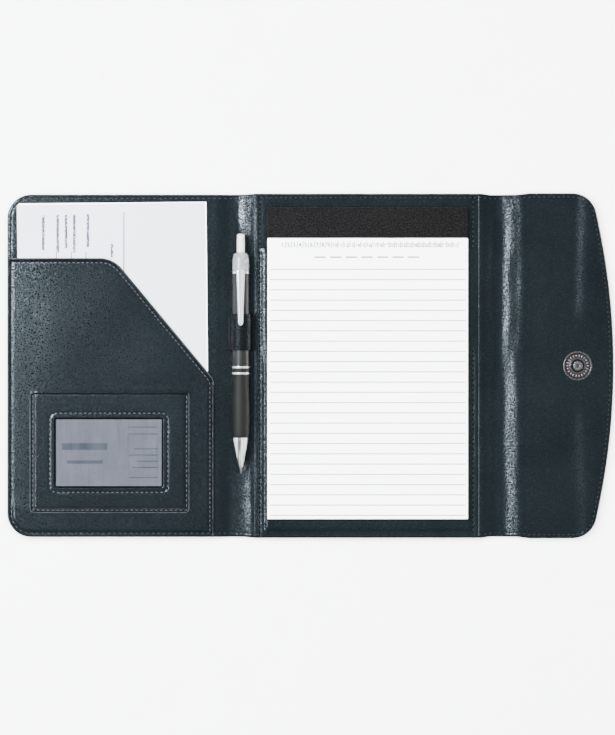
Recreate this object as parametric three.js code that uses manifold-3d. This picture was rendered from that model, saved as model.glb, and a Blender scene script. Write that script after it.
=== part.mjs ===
// Snap closure padfolio, lying open and flat: front cover, spine, centre panel, gusset and flap.
// Millimetres. +X runs from the front cover to the flap, +Y to the top of the pad, +Z out of the
// inner faces. The origin is under the middle of the open folio, level with its lowest point.

import * as THREE from 'three';
import * as BufferGeometryUtils from 'three/addons/utils/BufferGeometryUtils.js';
import Module from 'manifold-3d';

const wasm = await Module();
wasm.setup();

// Panels
const COVER_WIDTH = 137.6;
const SPINE_WIDTH = 24;
const CENTRE_WIDTH = 142.6;
const FLAP_LENGTH = 56.2;
const COVER_HALF_HEIGHT = 110.6;
const CENTRE_STEP = 0.6;
const CENTRE_HALF_HEIGHT = COVER_HALF_HEIGHT + CENTRE_STEP;
const FLAP_STEP = 0.3;
const FLAP_HALF_HEIGHT = CENTRE_HALF_HEIGHT + FLAP_STEP;
const COVER_CORNER = 15.5;
const FLAP_CORNER = 16;
const FLAP_BOW_RADIUS = 441;
const SKIN = 1;
const BOARD = 1.6;
const LINING = 0.8;
const INTERLINING = 0.8;
const EDGE_SEAM = 3;
const CREASE_SEAM = 1.5;
const BOARD_CLEARANCE = 0.3;

// Magnetic snap
const SNAP_RADIUS = 9.4;
const STUD_PLATE = 1.3;
const STUD_BASE = 0.7;
const STUD_RIM = 1.3;
const STUD_EDGE = 0.4;
const STUD_BUMPS = 22;
const STUD_BUMP_RADIUS = 0.42;
const STUD_BUMP_STRETCH = 2;
const STUD_BUMP_SIDES = 6;
const STUD_BUMP_RINGS = 4;
const STUD_INNER_RING = 4.4;
const POST_RADIUS = 3.1;
const POST_LOBE = 0.05;
const POST_PROUD = 1.7;
const POST_LOBES = 3;
const POST_ROUNDING = 0.28;
const POST_BEVEL_STEPS = 2;
const POST_DIMPLE = 1.1;
const DIMPLE_SIDES = 12;
const DIMPLE_RINGS = 8;
const STUD_INSET = 23.5;
const SOCKET_THICKNESS = 2.4;
const SOCKET_WALL = 0.6;
const SOCKET_BACK = 0.3;
const BORE_CLEARANCE = 0.35;
const MAGNET_CLEARANCE = 0.3;
const SNAP_GAP = 0.1;
const WASHER = 0.5;
const WASHER_RADIUS = 7.8;
const WASHER_CLEARANCE = 0.5;
const WASHER_BORE = 2.2;
const PRONG_WIDTH = 3;
const PRONG_THICKNESS = 0.5;
const PRONG_FOOT = 1.8;
const PRONG_OFFSET = 4;
const PRONG_CLEARANCE = 0.3;

// Document pocket on the front cover
const POCKET_LEATHER = 0.8;
const POCKET_EDGE_INSET = 0.2;
const POCKET_TOP_DROP = 41.1;
const POCKET_TOP_WIDTH = 68.4;
const POCKET_RIGHT_INSET = 3.7;
const POCKET_SHOULDER_DROP = 119.8;
const POCKET_TOP_FILLET = 18;
const POCKET_SHOULDER_FILLET = 9;
const POCKET_SEAM = 4;
const POCKET_RIGHT_SEAM = 3;
const PIPING_WIDTH = 1.8;
const PIPING_HEIGHT = 0.5;
const LOOSE_SHEET = 0.3;
const LOOSE_SHEET_WIDTH = 122.3;
const LOOSE_SHEET_LENGTH = 209;
const LOOSE_SHEET_TOP_DROP = 6.2;
const LOOSE_SHEET_EDGE = 7.8;
const BACK_SHEET_OFFSET_X = 0.7;
const BACK_SHEET_OFFSET_Y = 0.8;
const SHEET_GAP = 0.1;

// Card pocket with its window
const CARD_FRAME_WIDTH = 103.2;
const CARD_FRAME_HEIGHT = 78.7;
const CARD_FRAME_LEFT = 14.7;
const CARD_FRAME_LIFT = 15.6;
const CARD_FRAME_CORNER = 2.5;
const CARD_FRAME_SEAM = 2.8;
const CARD_LEATHER = 0.8;
const WINDOW_LEFT = 14.3;
const WINDOW_RIGHT = 15.2;
const WINDOW_TOP_DROP = 15.4;
const WINDOW_LIFT = 14.7;
const WINDOW_CORNER = 1.5;
const WINDOW_FILM = 0.3;
const WINDOW_FILM_MARGIN = 3;
const CARD = 0.3;
const CARD_SLACK = 3.8;
const CARD_TOP_DROP = 13.8;
const CARD_CORNER = 1;

// Pad and its pocket
const PAD_WIDTH = 129;
const PAD_TOP_DROP = 9.6;
const PAD_LENGTH = 200.2;
const PAD_LEFT_INSET = 6.5;
const PAD_BOARD = 0.8;
const PAD_BODY = 1.5;
const TOP_SHEET = 0.15;
const TOP_SHEET_GAP = 0.05;
const STRIP_HEIGHT = 19.4;
const STRIP = 0.45;
const STRIP_BACK = 0.3;
const STRIP_BACK_HEIGHT = 12;
const STRIP_SIDE_INSET = 0.2;
const STRIP_EDGE_GAP = 0.3;
const PAD_POCKET_LEATHER = 0.7;
const PAD_POCKET_TOP_DROP = 35.2;
const PAD_POCKET_SEAM = 2.9;
const PAD_POCKET_CREASE_INSET = 0.3;
const PAD_POCKET_TURNING = 6;
const PAD_POCKET_TURNING_HEIGHT = 0.1;
const PAD_LAYER_GAP = 0.1;

// Pen and its loop
const GRIP_RADIUS = 5.7;
const GRIP_WAIST = 0.5;
const BARREL_RADIUS = 5.4;
const BARREL_BORE = 3.7;
const COLLAR_SHOULDER = 3.6;
const COLLAR_STEPS = 6;
const COLLAR_BORE_CLEARANCE = 0.15;
const BUTTON_RADIUS = 2.6;
const BUTTON_PROUD = 12;
const BUTTON_ROUNDING = 0.9;
const BUTTON_SEAT = 10;
const BUTTON_TRAVEL = 5;
const CONE_TOP_RADIUS = 4.9;
const CONE_TIP_RADIUS = 1.35;
const CONE_FACETS = 12;
const CONE_WALL = 0.6;
const NIB_LENGTH = 4.6;
const CONE_LENGTH = 18.5;
const GRIP_LENGTH = 40.8;
const RING_LENGTH = 1.3;
const SLEEVE_LENGTH = 2.6;
const BARREL_LENGTH = 59.5;
const CLIP_RING_LENGTH = 1.4;
const COLLAR_LENGTH = 12.2;
const RING_PROUD = 0.15;
const NIB_RADIUS = 0.35;
const REFILL_TIP_RADIUS = 1.1;
const REFILL_RADIUS = 1.5;
const REFILL_CRIMP_RADIUS = 2.4;
const REFILL_CRIMP_LENGTH = 2;
const SPRING_WIRE = 0.25;
const SPRING_RADIUS = 1.85;
const SPRING_TURNS = 9;
const SPRING_LENGTH = 15;
const SPRING_STEPS_PER_TURN = 8;
const SPRING_SIDES = 5;
const SPRING_GAP = 0.3;
const CLIP_WIDTH = 5.5;
const CLIP_TIP_WIDTH = 3.2;
const CLIP_THICKNESS = 0.7;
const CLIP_REACH = 33.5;
const CLIP_OVERHANG = 2;
const CLIP_CORNER = 1;
const CLIP_LOOP_GAP = 0.25;
const PEN_NIB = -69.4;
const LOOP_LEATHER = 0.7;
const LOOP_CLEARANCE = 0.3;
const LOOP_WIDTH = 23.5;
const LOOP_TOP = 33.4;
const LOOP_FLANGE = 2.6;
const LOOP_STEPS = 14;
const PEN_PAD_CLEARANCE = 0.3;
const PEN_LINING_GAP = 0.1;

// Faces round a full turn, and segments in each rounded corner
const ROUND_SEGMENTS = 28;
const SNAP_SEGMENTS = 40;
const CORNER_SEGMENTS = 4;
const BOW_SEGMENTS = 10;
const WELD_DISTANCE = 1e-4;
const OVERCUT = 5;

// Places worked out from the sizes above
const PANEL = SKIN + BOARD + LINING;
const FOLD_THICKNESS = SKIN + INTERLINING + LINING;
const GUSSET_WIDTH = SPINE_WIDTH + PANEL + STUD_PLATE + SOCKET_THICKNESS + SNAP_GAP;
const OPEN_WIDTH = COVER_WIDTH + SPINE_WIDTH + CENTRE_WIDTH + GUSSET_WIDTH + FLAP_LENGTH;
const COVER_EDGE_X = -OPEN_WIDTH / 2;
const COVER_CREASE_X = COVER_EDGE_X + COVER_WIDTH;
const SPINE_CREASE_X = COVER_CREASE_X + SPINE_WIDTH;
const GUSSET_CREASE_X = SPINE_CREASE_X + CENTRE_WIDTH;
const FLAP_CREASE_X = GUSSET_CREASE_X + GUSSET_WIDTH;
const FLAP_TIP_X = FLAP_CREASE_X + FLAP_LENGTH;
const UNDERSIDE_Z = SOCKET_THICKNESS;
const INNER_Z = UNDERSIDE_Z + PANEL;
const LINING_Z = INNER_Z - LINING;
const SOCKET_BORE = POST_RADIUS * (1 + POST_LOBE) + BORE_CLEARANCE;
const STUD_X = FLAP_TIP_X - STUD_INSET;
const STUD_FROM_CREASE = STUD_X - FLAP_CREASE_X;
const SOCKET_FROM_CREASE = CENTRE_WIDTH - STUD_FROM_CREASE;
const SOCKET_X = COVER_CREASE_X - SOCKET_FROM_CREASE;

const POCKET_DEPTH = 2 * LOOSE_SHEET + 3 * SHEET_GAP;
const POCKET_FACE_Z = INNER_Z + POCKET_DEPTH + POCKET_LEATHER;
const POCKET_TOP = COVER_HALF_HEIGHT - POCKET_TOP_DROP;
const POCKET_SHOULDER = COVER_HALF_HEIGHT - POCKET_SHOULDER_DROP;
const LOOSE_SHEET_TOP = COVER_HALF_HEIGHT - LOOSE_SHEET_TOP_DROP;

// The card lies high enough to slide out over the piping of the pocket beneath it
const CARD_Z = POCKET_FACE_Z + PIPING_HEIGHT + SHEET_GAP;
const CARD_DEPTH = PIPING_HEIGHT + CARD + WINDOW_FILM + 2 * SHEET_GAP;
const CARD_FRAME_BOTTOM = -COVER_HALF_HEIGHT + CARD_FRAME_LIFT;
const CARD_FRAME_TOP = CARD_FRAME_BOTTOM + CARD_FRAME_HEIGHT;
const WINDOW_WIDTH = CARD_FRAME_WIDTH - WINDOW_LEFT - WINDOW_RIGHT;
const WINDOW_HEIGHT = CARD_FRAME_HEIGHT - WINDOW_TOP_DROP - WINDOW_LIFT;
const CARD_WIDTH = CARD_FRAME_WIDTH - 2 * (CARD_FRAME_SEAM + CARD_SLACK);
const CARD_HEIGHT = CARD_FRAME_HEIGHT - CARD_FRAME_SEAM - SHEET_GAP - CARD_TOP_DROP;

const PAD_TOP = CENTRE_HALF_HEIGHT - PAD_TOP_DROP;
const PAD_POCKET_TOP = CENTRE_HALF_HEIGHT - PAD_POCKET_TOP_DROP;
const PAD_LEFT_X = SPINE_CREASE_X + PAD_LEFT_INSET;
const PAD_BOTTOM = PAD_TOP - PAD_LENGTH;
const PAD_BOARD_Z = INNER_Z + PAD_LAYER_GAP;
const PAD_POCKET_DEPTH = PAD_BOARD + 2 * PAD_LAYER_GAP;
const PAD_POCKET_RAISED_Z = INNER_Z + PAD_POCKET_DEPTH + PAD_POCKET_LEATHER;
const PAD_POCKET_FACE_Z = PAD_POCKET_RAISED_Z + PAD_POCKET_TURNING_HEIGHT;
const PAD_BODY_Z = PAD_POCKET_FACE_Z + PAD_LAYER_GAP;
const PAD_BODY_TOP_Z = PAD_BODY_Z + PAD_BODY;
const TOP_SHEET_Z = PAD_BODY_TOP_Z + TOP_SHEET_GAP;
const PAD_TOP_Z = TOP_SHEET_Z + TOP_SHEET;
const STRIP_BOTTOM = PAD_TOP - STRIP_HEIGHT;

const LOOP_BORE = GRIP_RADIUS + LOOP_CLEARANCE;
const LOOP_OUTSIDE = LOOP_BORE + LOOP_LEATHER;
const PEN_FROM_CREASE = PAD_TOP_Z - INNER_Z + LOOP_OUTSIDE + PEN_PAD_CLEARANCE;
const PEN_X = SPINE_CREASE_X - PEN_FROM_CREASE;
const PEN_Z = INNER_Z + GRIP_RADIUS + PEN_LINING_GAP;
const CONE_TIP = PEN_NIB + NIB_LENGTH;
const CONE_TOP = CONE_TIP + CONE_LENGTH;
const GRIP_TOP = CONE_TOP + GRIP_LENGTH;
const LOWER_RING_TOP = GRIP_TOP + RING_LENGTH;
const SLEEVE_TOP = LOWER_RING_TOP + SLEEVE_LENGTH;
const UPPER_RING_TOP = SLEEVE_TOP + RING_LENGTH;
const BARREL_TOP = UPPER_RING_TOP + BARREL_LENGTH;
const CLIP_RING_TOP = BARREL_TOP + CLIP_RING_LENGTH;
const COLLAR_TOP = CLIP_RING_TOP + COLLAR_LENGTH;
const SPRING_BOTTOM = CONE_TIP + CONE_LENGTH / 2;
const REFILL_CRIMP = SPRING_BOTTOM + SPRING_LENGTH + SPRING_GAP;
const BUTTON_BOTTOM = COLLAR_TOP - BUTTON_SEAT;

// Finishes
const LEATHER = { color: 0x232d30, roughness: 0.45, metalness: 0 };
const LINING_LEATHER = { color: 0x263134, roughness: 0.42, metalness: 0 };
const GREYBOARD = { color: 0x8b857a, roughness: 0.95, metalness: 0 };
const FOAM = { color: 0x55585a, roughness: 1, metalness: 0 };
const BINDING_LEATHER = { color: 0x2a2726, roughness: 0.6, metalness: 0 };
const PAPER = { color: 0xf4f4f2, roughness: 0.9, metalness: 0 };
const LOOSE_PAPER = { color: 0xe2e2e8, roughness: 0.9, metalness: 0 };
const CARD_STOCK = { color: 0xb9bccb, roughness: 0.8, metalness: 0 };
const CLEAR_FILM = { color: 0xdde3ea, roughness: 0.15, metalness: 0 };
const STEEL = { color: 0xa9aaac, roughness: 0.3, metalness: 1 };
const MAGNET = { color: 0x3a3a3c, roughness: 0.6, metalness: 0.4 };
const SILVER = { color: 0xc9cbce, roughness: 0.25, metalness: 1 };
const DARK_BARREL = { color: 0x2b2322, roughness: 0.35, metalness: 0 };
const RUBBER = { color: 0x38393b, roughness: 0.7, metalness: 0 };
const REFILL_PLASTIC = { color: 0xd8d8d2, roughness: 0.5, metalness: 0 };

function material(finish) {
  return new THREE.MeshStandardMaterial(finish);
}

// A copy of a geometry with shared corners merged and empty triangles left out.
function weld(geometry) {
  const loose = geometry.index ? geometry.toNonIndexed() : geometry.clone();
  loose.deleteAttribute('normal');
  loose.deleteAttribute('uv');
  const merged = BufferGeometryUtils.mergeVertices(loose, WELD_DISTANCE);
  const corners = merged.index.array;
  const kept = [];
  for (let i = 0; i < corners.length; i += 3) {
    const [a, b, c] = [corners[i], corners[i + 1], corners[i + 2]];
    if (a !== b && b !== c && c !== a) kept.push(a, b, c);
  }
  merged.setIndex(kept);
  return merged;
}

function toSolid(geometry) {
  const welded = weld(geometry);
  return new wasm.Manifold(new wasm.Mesh({
    numProp: 3,
    vertProperties: new Float32Array(welded.attributes.position.array),
    triVerts: new Uint32Array(welded.index.array),
  }));
}

function toGeometry(solid) {
  const mesh = solid.getMesh();
  const geometry = new THREE.BufferGeometry();
  geometry.setAttribute('position', new THREE.BufferAttribute(mesh.vertProperties, 3));
  geometry.setIndex(new THREE.BufferAttribute(mesh.triVerts, 1));
  geometry.computeVertexNormals();
  return geometry;
}

function join(...geometries) {
  const solids = geometries.map(toSolid);
  return toGeometry(solids.reduce((whole, piece) => whole.add(piece)));
}

function cut(geometry, ...tools) {
  return toGeometry(tools.map(toSolid).reduce((whole, tool) => whole.subtract(tool), toSolid(geometry)));
}

// A shape through corners [x, y, radius], counterclockwise, each corner rounded by its radius.
function filletedShape(corners) {
  const shape = new THREE.Shape();
  corners.forEach(([x, y, radius], i) => {
    const here = new THREE.Vector2(x, y);
    const before = new THREE.Vector2(...corners.at(i - 1)).sub(here).normalize();
    const after = new THREE.Vector2(...corners[(i + 1) % corners.length]).sub(here).normalize();
    const halfAngle = Math.acos(THREE.MathUtils.clamp(before.dot(after), -1, 1)) / 2;
    const start = here.clone().addScaledVector(before, radius / Math.tan(halfAngle));
    if (i === 0) shape.moveTo(start.x, start.y);
    else shape.lineTo(start.x, start.y);
    if (radius === 0) return;
    const inward = before.clone().add(after).normalize();
    const centre = here.clone().addScaledVector(inward, radius / Math.sin(halfAngle));
    const end = here.clone().addScaledVector(after, radius / Math.tan(halfAngle));
    const from = Math.atan2(start.y - centre.y, start.x - centre.x);
    const to = Math.atan2(end.y - centre.y, end.x - centre.x);
    shape.absarc(centre.x, centre.y, radius, from, to, false);
  });
  shape.closePath();
  return shape;
}

// Corners moved inwards, edge by edge: insets[i] belongs to the edge from corner i to the next one.
function inset(corners, insets) {
  const count = corners.length;
  const edges = corners.map(([x, y], i) => {
    const [nextX, nextY] = corners[(i + 1) % count];
    const length = Math.hypot(nextX - x, nextY - y);
    const direction = [(nextX - x) / length, (nextY - y) / length];
    return { direction, x: x - direction[1] * insets[i], y: y + direction[0] * insets[i] };
  });
  return corners.map(([, , radius], i) => {
    const a = edges[(i + count - 1) % count];
    const b = edges[i];
    const cross = a.direction[0] * b.direction[1] - a.direction[1] * b.direction[0];
    const along = ((b.x - a.x) * b.direction[1] - (b.y - a.y) * b.direction[0]) / cross;
    const depth = Math.max(insets[(i + count - 1) % count], insets[i]);
    return [a.x + a.direction[0] * along, a.y + a.direction[1] * along, Math.max(radius - depth, 0)];
  });
}

function extrude(shape, bottom, height, curveSegments = CORNER_SEGMENTS) {
  const geometry = new THREE.ExtrudeGeometry(shape, { depth: height, bevelEnabled: false, curveSegments });
  return geometry.translate(0, 0, bottom);
}

function plate(corners, bottom, height) {
  return extrude(filletedShape(corners), bottom, height);
}

function rectangle(left, right, bottom, top, radius = 0) {
  return [[left, bottom, radius], [right, bottom, radius], [right, top, radius], [left, top, radius]];
}

function box(left, right, front, back, bottom, top) {
  const geometry = new THREE.BoxGeometry(right - left, back - front, top - bottom);
  return geometry.translate((left + right) / 2, (front + back) / 2, (bottom + top) / 2);
}

// A ring or disc about the Y axis from a closed profile of [radius, y] points, faces outwards.
function revolve(profile, segments = ROUND_SEGMENTS) {
  const turns = profile.reduce((sum, [r, y], i) => {
    const [nextR, nextY] = profile[(i + 1) % profile.length];
    return sum + r * nextY - nextR * y;
  }, 0);
  const ordered = turns < 0 ? [...profile].reverse() : profile;
  const points = [...ordered, ordered[0]].map(([r, y]) => new THREE.Vector2(r, y));
  return new THREE.LatheGeometry(points, segments);
}

// The same, standing on the Z axis at a place in the plan.
function revolveUp(profile, x, segments = SNAP_SEGMENTS) {
  return revolve(profile, segments).rotateX(Math.PI / 2).translate(x, 0, 0);
}

// Outlines of the five panels
const coverOutline = [
  [COVER_EDGE_X, -COVER_HALF_HEIGHT, COVER_CORNER],
  [COVER_CREASE_X, -COVER_HALF_HEIGHT, 0],
  [COVER_CREASE_X, COVER_HALF_HEIGHT, 0],
  [COVER_EDGE_X, COVER_HALF_HEIGHT, COVER_CORNER],
];
const spineOutline = rectangle(COVER_CREASE_X, SPINE_CREASE_X, -COVER_HALF_HEIGHT, COVER_HALF_HEIGHT);
const centreOutline = rectangle(SPINE_CREASE_X, GUSSET_CREASE_X, -CENTRE_HALF_HEIGHT, CENTRE_HALF_HEIGHT);
const gussetOutline = rectangle(GUSSET_CREASE_X, FLAP_CREASE_X, -CENTRE_HALF_HEIGHT, CENTRE_HALF_HEIGHT);

// The flap: straight ends, a shallow bow along its free edge, and a rounded corner between them.
// Every edge but the crease moves in by seam, and the crease edge by creaseSeam.
function flapShape(seam, creaseSeam) {
  const half = FLAP_HALF_HEIGHT - seam;
  const bow = FLAP_BOW_RADIUS - seam;
  const corner = FLAP_CORNER - seam;
  const bowX = FLAP_TIP_X - FLAP_BOW_RADIUS;
  const cornerY = half - corner;
  const cornerX = bowX + Math.sqrt((bow - corner) ** 2 - cornerY ** 2);
  const turn = Math.atan2(cornerY, cornerX - bowX);
  const shape = new THREE.Shape();
  shape.moveTo(FLAP_CREASE_X + creaseSeam, -half);
  shape.lineTo(cornerX, -half);
  shape.absarc(cornerX, -cornerY, corner, -Math.PI / 2, -turn, false);
  shape.absarc(bowX, 0, bow, -turn, turn, false);
  shape.absarc(cornerX, cornerY, corner, turn, Math.PI / 2, false);
  shape.lineTo(FLAP_CREASE_X + creaseSeam, half);
  shape.closePath();
  return shape;
}

// Seam allowances in the order of a panel's edges: bottom, right, top, left.
const COVER_SEAMS = [EDGE_SEAM, CREASE_SEAM, EDGE_SEAM, EDGE_SEAM];
const FOLD_SEAMS = [EDGE_SEAM, CREASE_SEAM, EDGE_SEAM, CREASE_SEAM];

// The outer leather of a panel: a shallow tray whose sewn edge closes round the board.
function outerSkin(outline, seams, bottom, filling) {
  const room = inset(outline, seams.map((seam) => seam - BOARD_CLEARANCE));
  return cut(plate(outline, bottom, SKIN + filling), plate(room, bottom + SKIN, filling + OVERCUT));
}

function flapSkin() {
  const body = extrude(flapShape(0, 0), UNDERSIDE_Z, SKIN + BOARD, BOW_SEGMENTS);
  const seam = EDGE_SEAM - BOARD_CLEARANCE;
  const creaseSeam = CREASE_SEAM - BOARD_CLEARANCE;
  const room = extrude(flapShape(seam, creaseSeam), UNDERSIDE_Z + SKIN, BOARD + OVERCUT, BOW_SEGMENTS);
  return cut(body, room);
}

// Slots for the two prongs of a snap half, and the hollow in the board that takes its washer.
function prongSlots(x, bottom, top) {
  const halfWidth = PRONG_WIDTH / 2 + PRONG_CLEARANCE;
  const halfThickness = PRONG_THICKNESS / 2 + PRONG_CLEARANCE;
  return [-PRONG_OFFSET, PRONG_OFFSET].map((offset) => box(
    x + offset - halfThickness, x + offset + halfThickness, -halfWidth, halfWidth, bottom, top,
  ));
}

function washerHollow(x, bottom, top) {
  const radius = WASHER_RADIUS + WASHER_CLEARANCE;
  return revolveUp([[0, bottom], [radius, bottom], [radius, top], [0, top]], x);
}

// Two prongs that pass through the leather and turn outwards over the washer.
// They start at root and end at tip, which lies above or below it.
function prongs(x, root, tip) {
  const up = Math.sign(tip - root);
  const bend = tip - up * PRONG_THICKNESS;
  return [-1, 1].flatMap((side) => {
    const inner = x + side * PRONG_OFFSET - PRONG_THICKNESS / 2;
    const outer = x + side * PRONG_OFFSET + PRONG_THICKNESS / 2;
    const toe = x + side * (PRONG_OFFSET + PRONG_FOOT);
    const half = PRONG_WIDTH / 2;
    return [
      box(inner, outer, -half, half, Math.min(root, tip), Math.max(root, tip)),
      box(Math.min(inner, toe), Math.max(outer, toe), -half, half, Math.min(bend, tip), Math.max(bend, tip)),
    ];
  });
}

function washer(x, bottom) {
  const top = bottom + WASHER;
  const ring = revolveUp([
    [WASHER_BORE, bottom], [WASHER_RADIUS, bottom], [WASHER_RADIUS, top], [WASHER_BORE, top],
  ], x);
  return cut(ring, ...prongSlots(x, bottom - OVERCUT, top + OVERCUT));
}

const WASHER_ROOM = WASHER + PRONG_THICKNESS + WASHER_CLEARANCE / 2;

// The thin foam between the two leathers of a fold
const FOLD_BOTTOM_Z = INNER_Z - FOLD_THICKNESS;

function interlining(outline) {
  return plate(inset(outline, FOLD_SEAMS), FOLD_BOTTOM_Z + SKIN, INTERLINING);
}

// Front cover
function frontSkin() {
  const skin = outerSkin(coverOutline, COVER_SEAMS, UNDERSIDE_Z, BOARD);
  return cut(skin, ...prongSlots(SOCKET_X, UNDERSIDE_Z - OVERCUT, UNDERSIDE_Z + SKIN + OVERCUT));
}

function frontBoard() {
  const bottom = UNDERSIDE_Z + SKIN;
  const board = plate(inset(coverOutline, COVER_SEAMS), bottom, BOARD);
  return cut(board, washerHollow(SOCKET_X, bottom - OVERCUT, bottom + WASHER_ROOM));
}

// The socket half: a cup under the cover with a round bore for the post, a magnet ring inside it.
function socketCap() {
  const low = UNDERSIDE_Z - SOCKET_THICKNESS;
  const top = UNDERSIDE_Z;
  const bore = SOCKET_BORE;
  const magnetIn = bore + SOCKET_WALL;
  const magnetOut = SNAP_RADIUS - SOCKET_WALL;
  const edge = SOCKET_WALL / 2;
  return revolveUp([
    [bore, low + edge], [bore + edge, low], [SNAP_RADIUS - SOCKET_WALL, low],
    [SNAP_RADIUS - edge / 2, low + edge], [SNAP_RADIUS, low + SOCKET_WALL], [SNAP_RADIUS, top],
    [magnetOut, top], [magnetOut, low + SOCKET_WALL], [magnetIn, low + SOCKET_WALL],
    [magnetIn, top - SOCKET_BACK], [bore, top - SOCKET_BACK],
  ], SOCKET_X);
}

function socketMagnet() {
  const low = UNDERSIDE_Z - SOCKET_THICKNESS + SOCKET_WALL;
  const top = UNDERSIDE_Z - SOCKET_BACK - WASHER / 2;
  const inside = SOCKET_BORE + SOCKET_WALL + MAGNET_CLEARANCE;
  const outside = SNAP_RADIUS - SOCKET_WALL - MAGNET_CLEARANCE;
  return revolveUp([[inside, low], [outside, low], [outside, top], [inside, top]], SOCKET_X);
}

// The base that closes the cup against the leather and carries the prongs.
function socketBase() {
  const bottom = UNDERSIDE_Z - SOCKET_BACK;
  const radius = SNAP_RADIUS - SOCKET_WALL - MAGNET_CLEARANCE;
  const disc = revolveUp([
    [0, bottom], [radius, bottom], [radius, UNDERSIDE_Z], [0, UNDERSIDE_Z],
  ], SOCKET_X);
  const tip = UNDERSIDE_Z + SKIN + WASHER + PRONG_THICKNESS;
  return join(disc, ...prongs(SOCKET_X, bottom, tip));
}

const pocketLeft = COVER_EDGE_X + POCKET_EDGE_INSET;
const pocketRight = COVER_CREASE_X - POCKET_RIGHT_INSET;
const pocketBottom = -COVER_HALF_HEIGHT + POCKET_EDGE_INSET;

// Corners from the lower left, so the edges are bottom, right, diagonal, top and left.
const pocketOutline = [
  [pocketLeft, pocketBottom, COVER_CORNER - POCKET_EDGE_INSET],
  [pocketRight, pocketBottom, 0],
  [pocketRight, POCKET_SHOULDER, POCKET_SHOULDER_FILLET],
  [pocketLeft + POCKET_TOP_WIDTH, POCKET_TOP, POCKET_TOP_FILLET],
  [pocketLeft, POCKET_TOP, 0],
];

// A patch sewn down along its seams and raised between them. An edge with no seam is the pocket's
// mouth, and the hollow under the leather runs out through it.
function sewnPocket(outline, seams, bottom, leather, depth) {
  const rise = seams.map((seam) => Math.max(seam - leather, 0));
  const room = seams.map((seam) => (seam === 0 ? -OVERCUT : seam));
  const patch = join(plate(outline, bottom, leather), plate(inset(outline, rise), bottom, depth + leather));
  const hollow = inset(outline, room).map(([x, y]) => [x, y, 0]);
  return cut(patch, plate(hollow, bottom - OVERCUT, depth + OVERCUT));
}

const POCKET_SEAMS = [POCKET_SEAM, POCKET_RIGHT_SEAM, 0, 0, POCKET_SEAM];

function documentPocket() {
  return sewnPocket(pocketOutline, POCKET_SEAMS, INNER_Z, POCKET_LEATHER, POCKET_DEPTH);
}

function documentPocketPiping() {
  const strip = plate(pocketOutline, POCKET_FACE_Z, PIPING_HEIGHT);
  const widths = [-OVERCUT, PIPING_WIDTH, PIPING_WIDTH, PIPING_WIDTH, -OVERCUT];
  const inner = inset(pocketOutline, widths);
  const sewnSide = box(
    pocketRight - 2 * PIPING_WIDTH, pocketRight + OVERCUT,
    pocketBottom - OVERCUT, pocketBottom + POCKET_SEAM,
    POCKET_FACE_Z - OVERCUT, POCKET_FACE_Z + OVERCUT,
  );
  const raised = inset(pocketOutline, POCKET_SEAMS.map((seam) => Math.max(seam - POCKET_LEATHER, 0)));
  const seamLine = raised[1][0];
  const sewnEdge = box(
    seamLine, pocketRight + OVERCUT, pocketBottom - OVERCUT, POCKET_SHOULDER + OVERCUT,
    POCKET_FACE_Z - OVERCUT, POCKET_FACE_Z + OVERCUT,
  );
  const leftEdge = box(
    pocketLeft - OVERCUT, raised[0][0], pocketBottom - OVERCUT, POCKET_TOP + OVERCUT,
    POCKET_FACE_Z - OVERCUT, POCKET_FACE_Z + OVERCUT,
  );
  return cut(strip, plate(inner, POCKET_FACE_Z - OVERCUT, 2 * OVERCUT), sewnSide, sewnEdge, leftEdge);
}

const looseLeft = COVER_EDGE_X + LOOSE_SHEET_EDGE;

function looseSheet(offsetX, offsetY, layer) {
  const left = looseLeft + offsetX;
  const top = LOOSE_SHEET_TOP + offsetY;
  const bottom = INNER_Z + SHEET_GAP + layer * (LOOSE_SHEET + SHEET_GAP);
  return box(left, left + LOOSE_SHEET_WIDTH, top - LOOSE_SHEET_LENGTH, top, bottom, bottom + LOOSE_SHEET);
}

// Card pocket: frame, window film and card
const frameLeft = COVER_EDGE_X + CARD_FRAME_LEFT;
const frameOutline = [
  [frameLeft, CARD_FRAME_BOTTOM, CARD_FRAME_CORNER],
  [frameLeft + CARD_FRAME_WIDTH, CARD_FRAME_BOTTOM, CARD_FRAME_CORNER],
  [frameLeft + CARD_FRAME_WIDTH, CARD_FRAME_TOP, 0],
  [frameLeft, CARD_FRAME_TOP, 0],
];
const windowLeft = frameLeft + WINDOW_LEFT;
const windowTop = CARD_FRAME_TOP - WINDOW_TOP_DROP;
const windowOutline = rectangle(
  windowLeft, windowLeft + WINDOW_WIDTH, windowTop - WINDOW_HEIGHT, windowTop, WINDOW_CORNER,
);
const FRAME_SEAMS = [CARD_FRAME_SEAM, CARD_FRAME_SEAM, 0, CARD_FRAME_SEAM];

function cardFrame() {
  const frame = sewnPocket(frameOutline, FRAME_SEAMS, POCKET_FACE_Z, CARD_LEATHER, CARD_DEPTH);
  return cut(frame, plate(windowOutline, POCKET_FACE_Z - OVERCUT, CARD_DEPTH + CARD_LEATHER + 2 * OVERCUT));
}

function cardPiping() {
  const bottom = POCKET_FACE_Z + CARD_DEPTH + CARD_LEATHER;
  const side = CARD_FRAME_SEAM - CARD_LEATHER;
  return box(
    frameLeft + side, frameLeft + CARD_FRAME_WIDTH - side,
    CARD_FRAME_TOP - PIPING_WIDTH, CARD_FRAME_TOP, bottom, bottom + PIPING_HEIGHT,
  );
}

function windowFilm() {
  const film = inset(windowOutline, windowOutline.map(() => -WINDOW_FILM_MARGIN));
  return plate(film, POCKET_FACE_Z + CARD_DEPTH - WINDOW_FILM, WINDOW_FILM);
}

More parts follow.
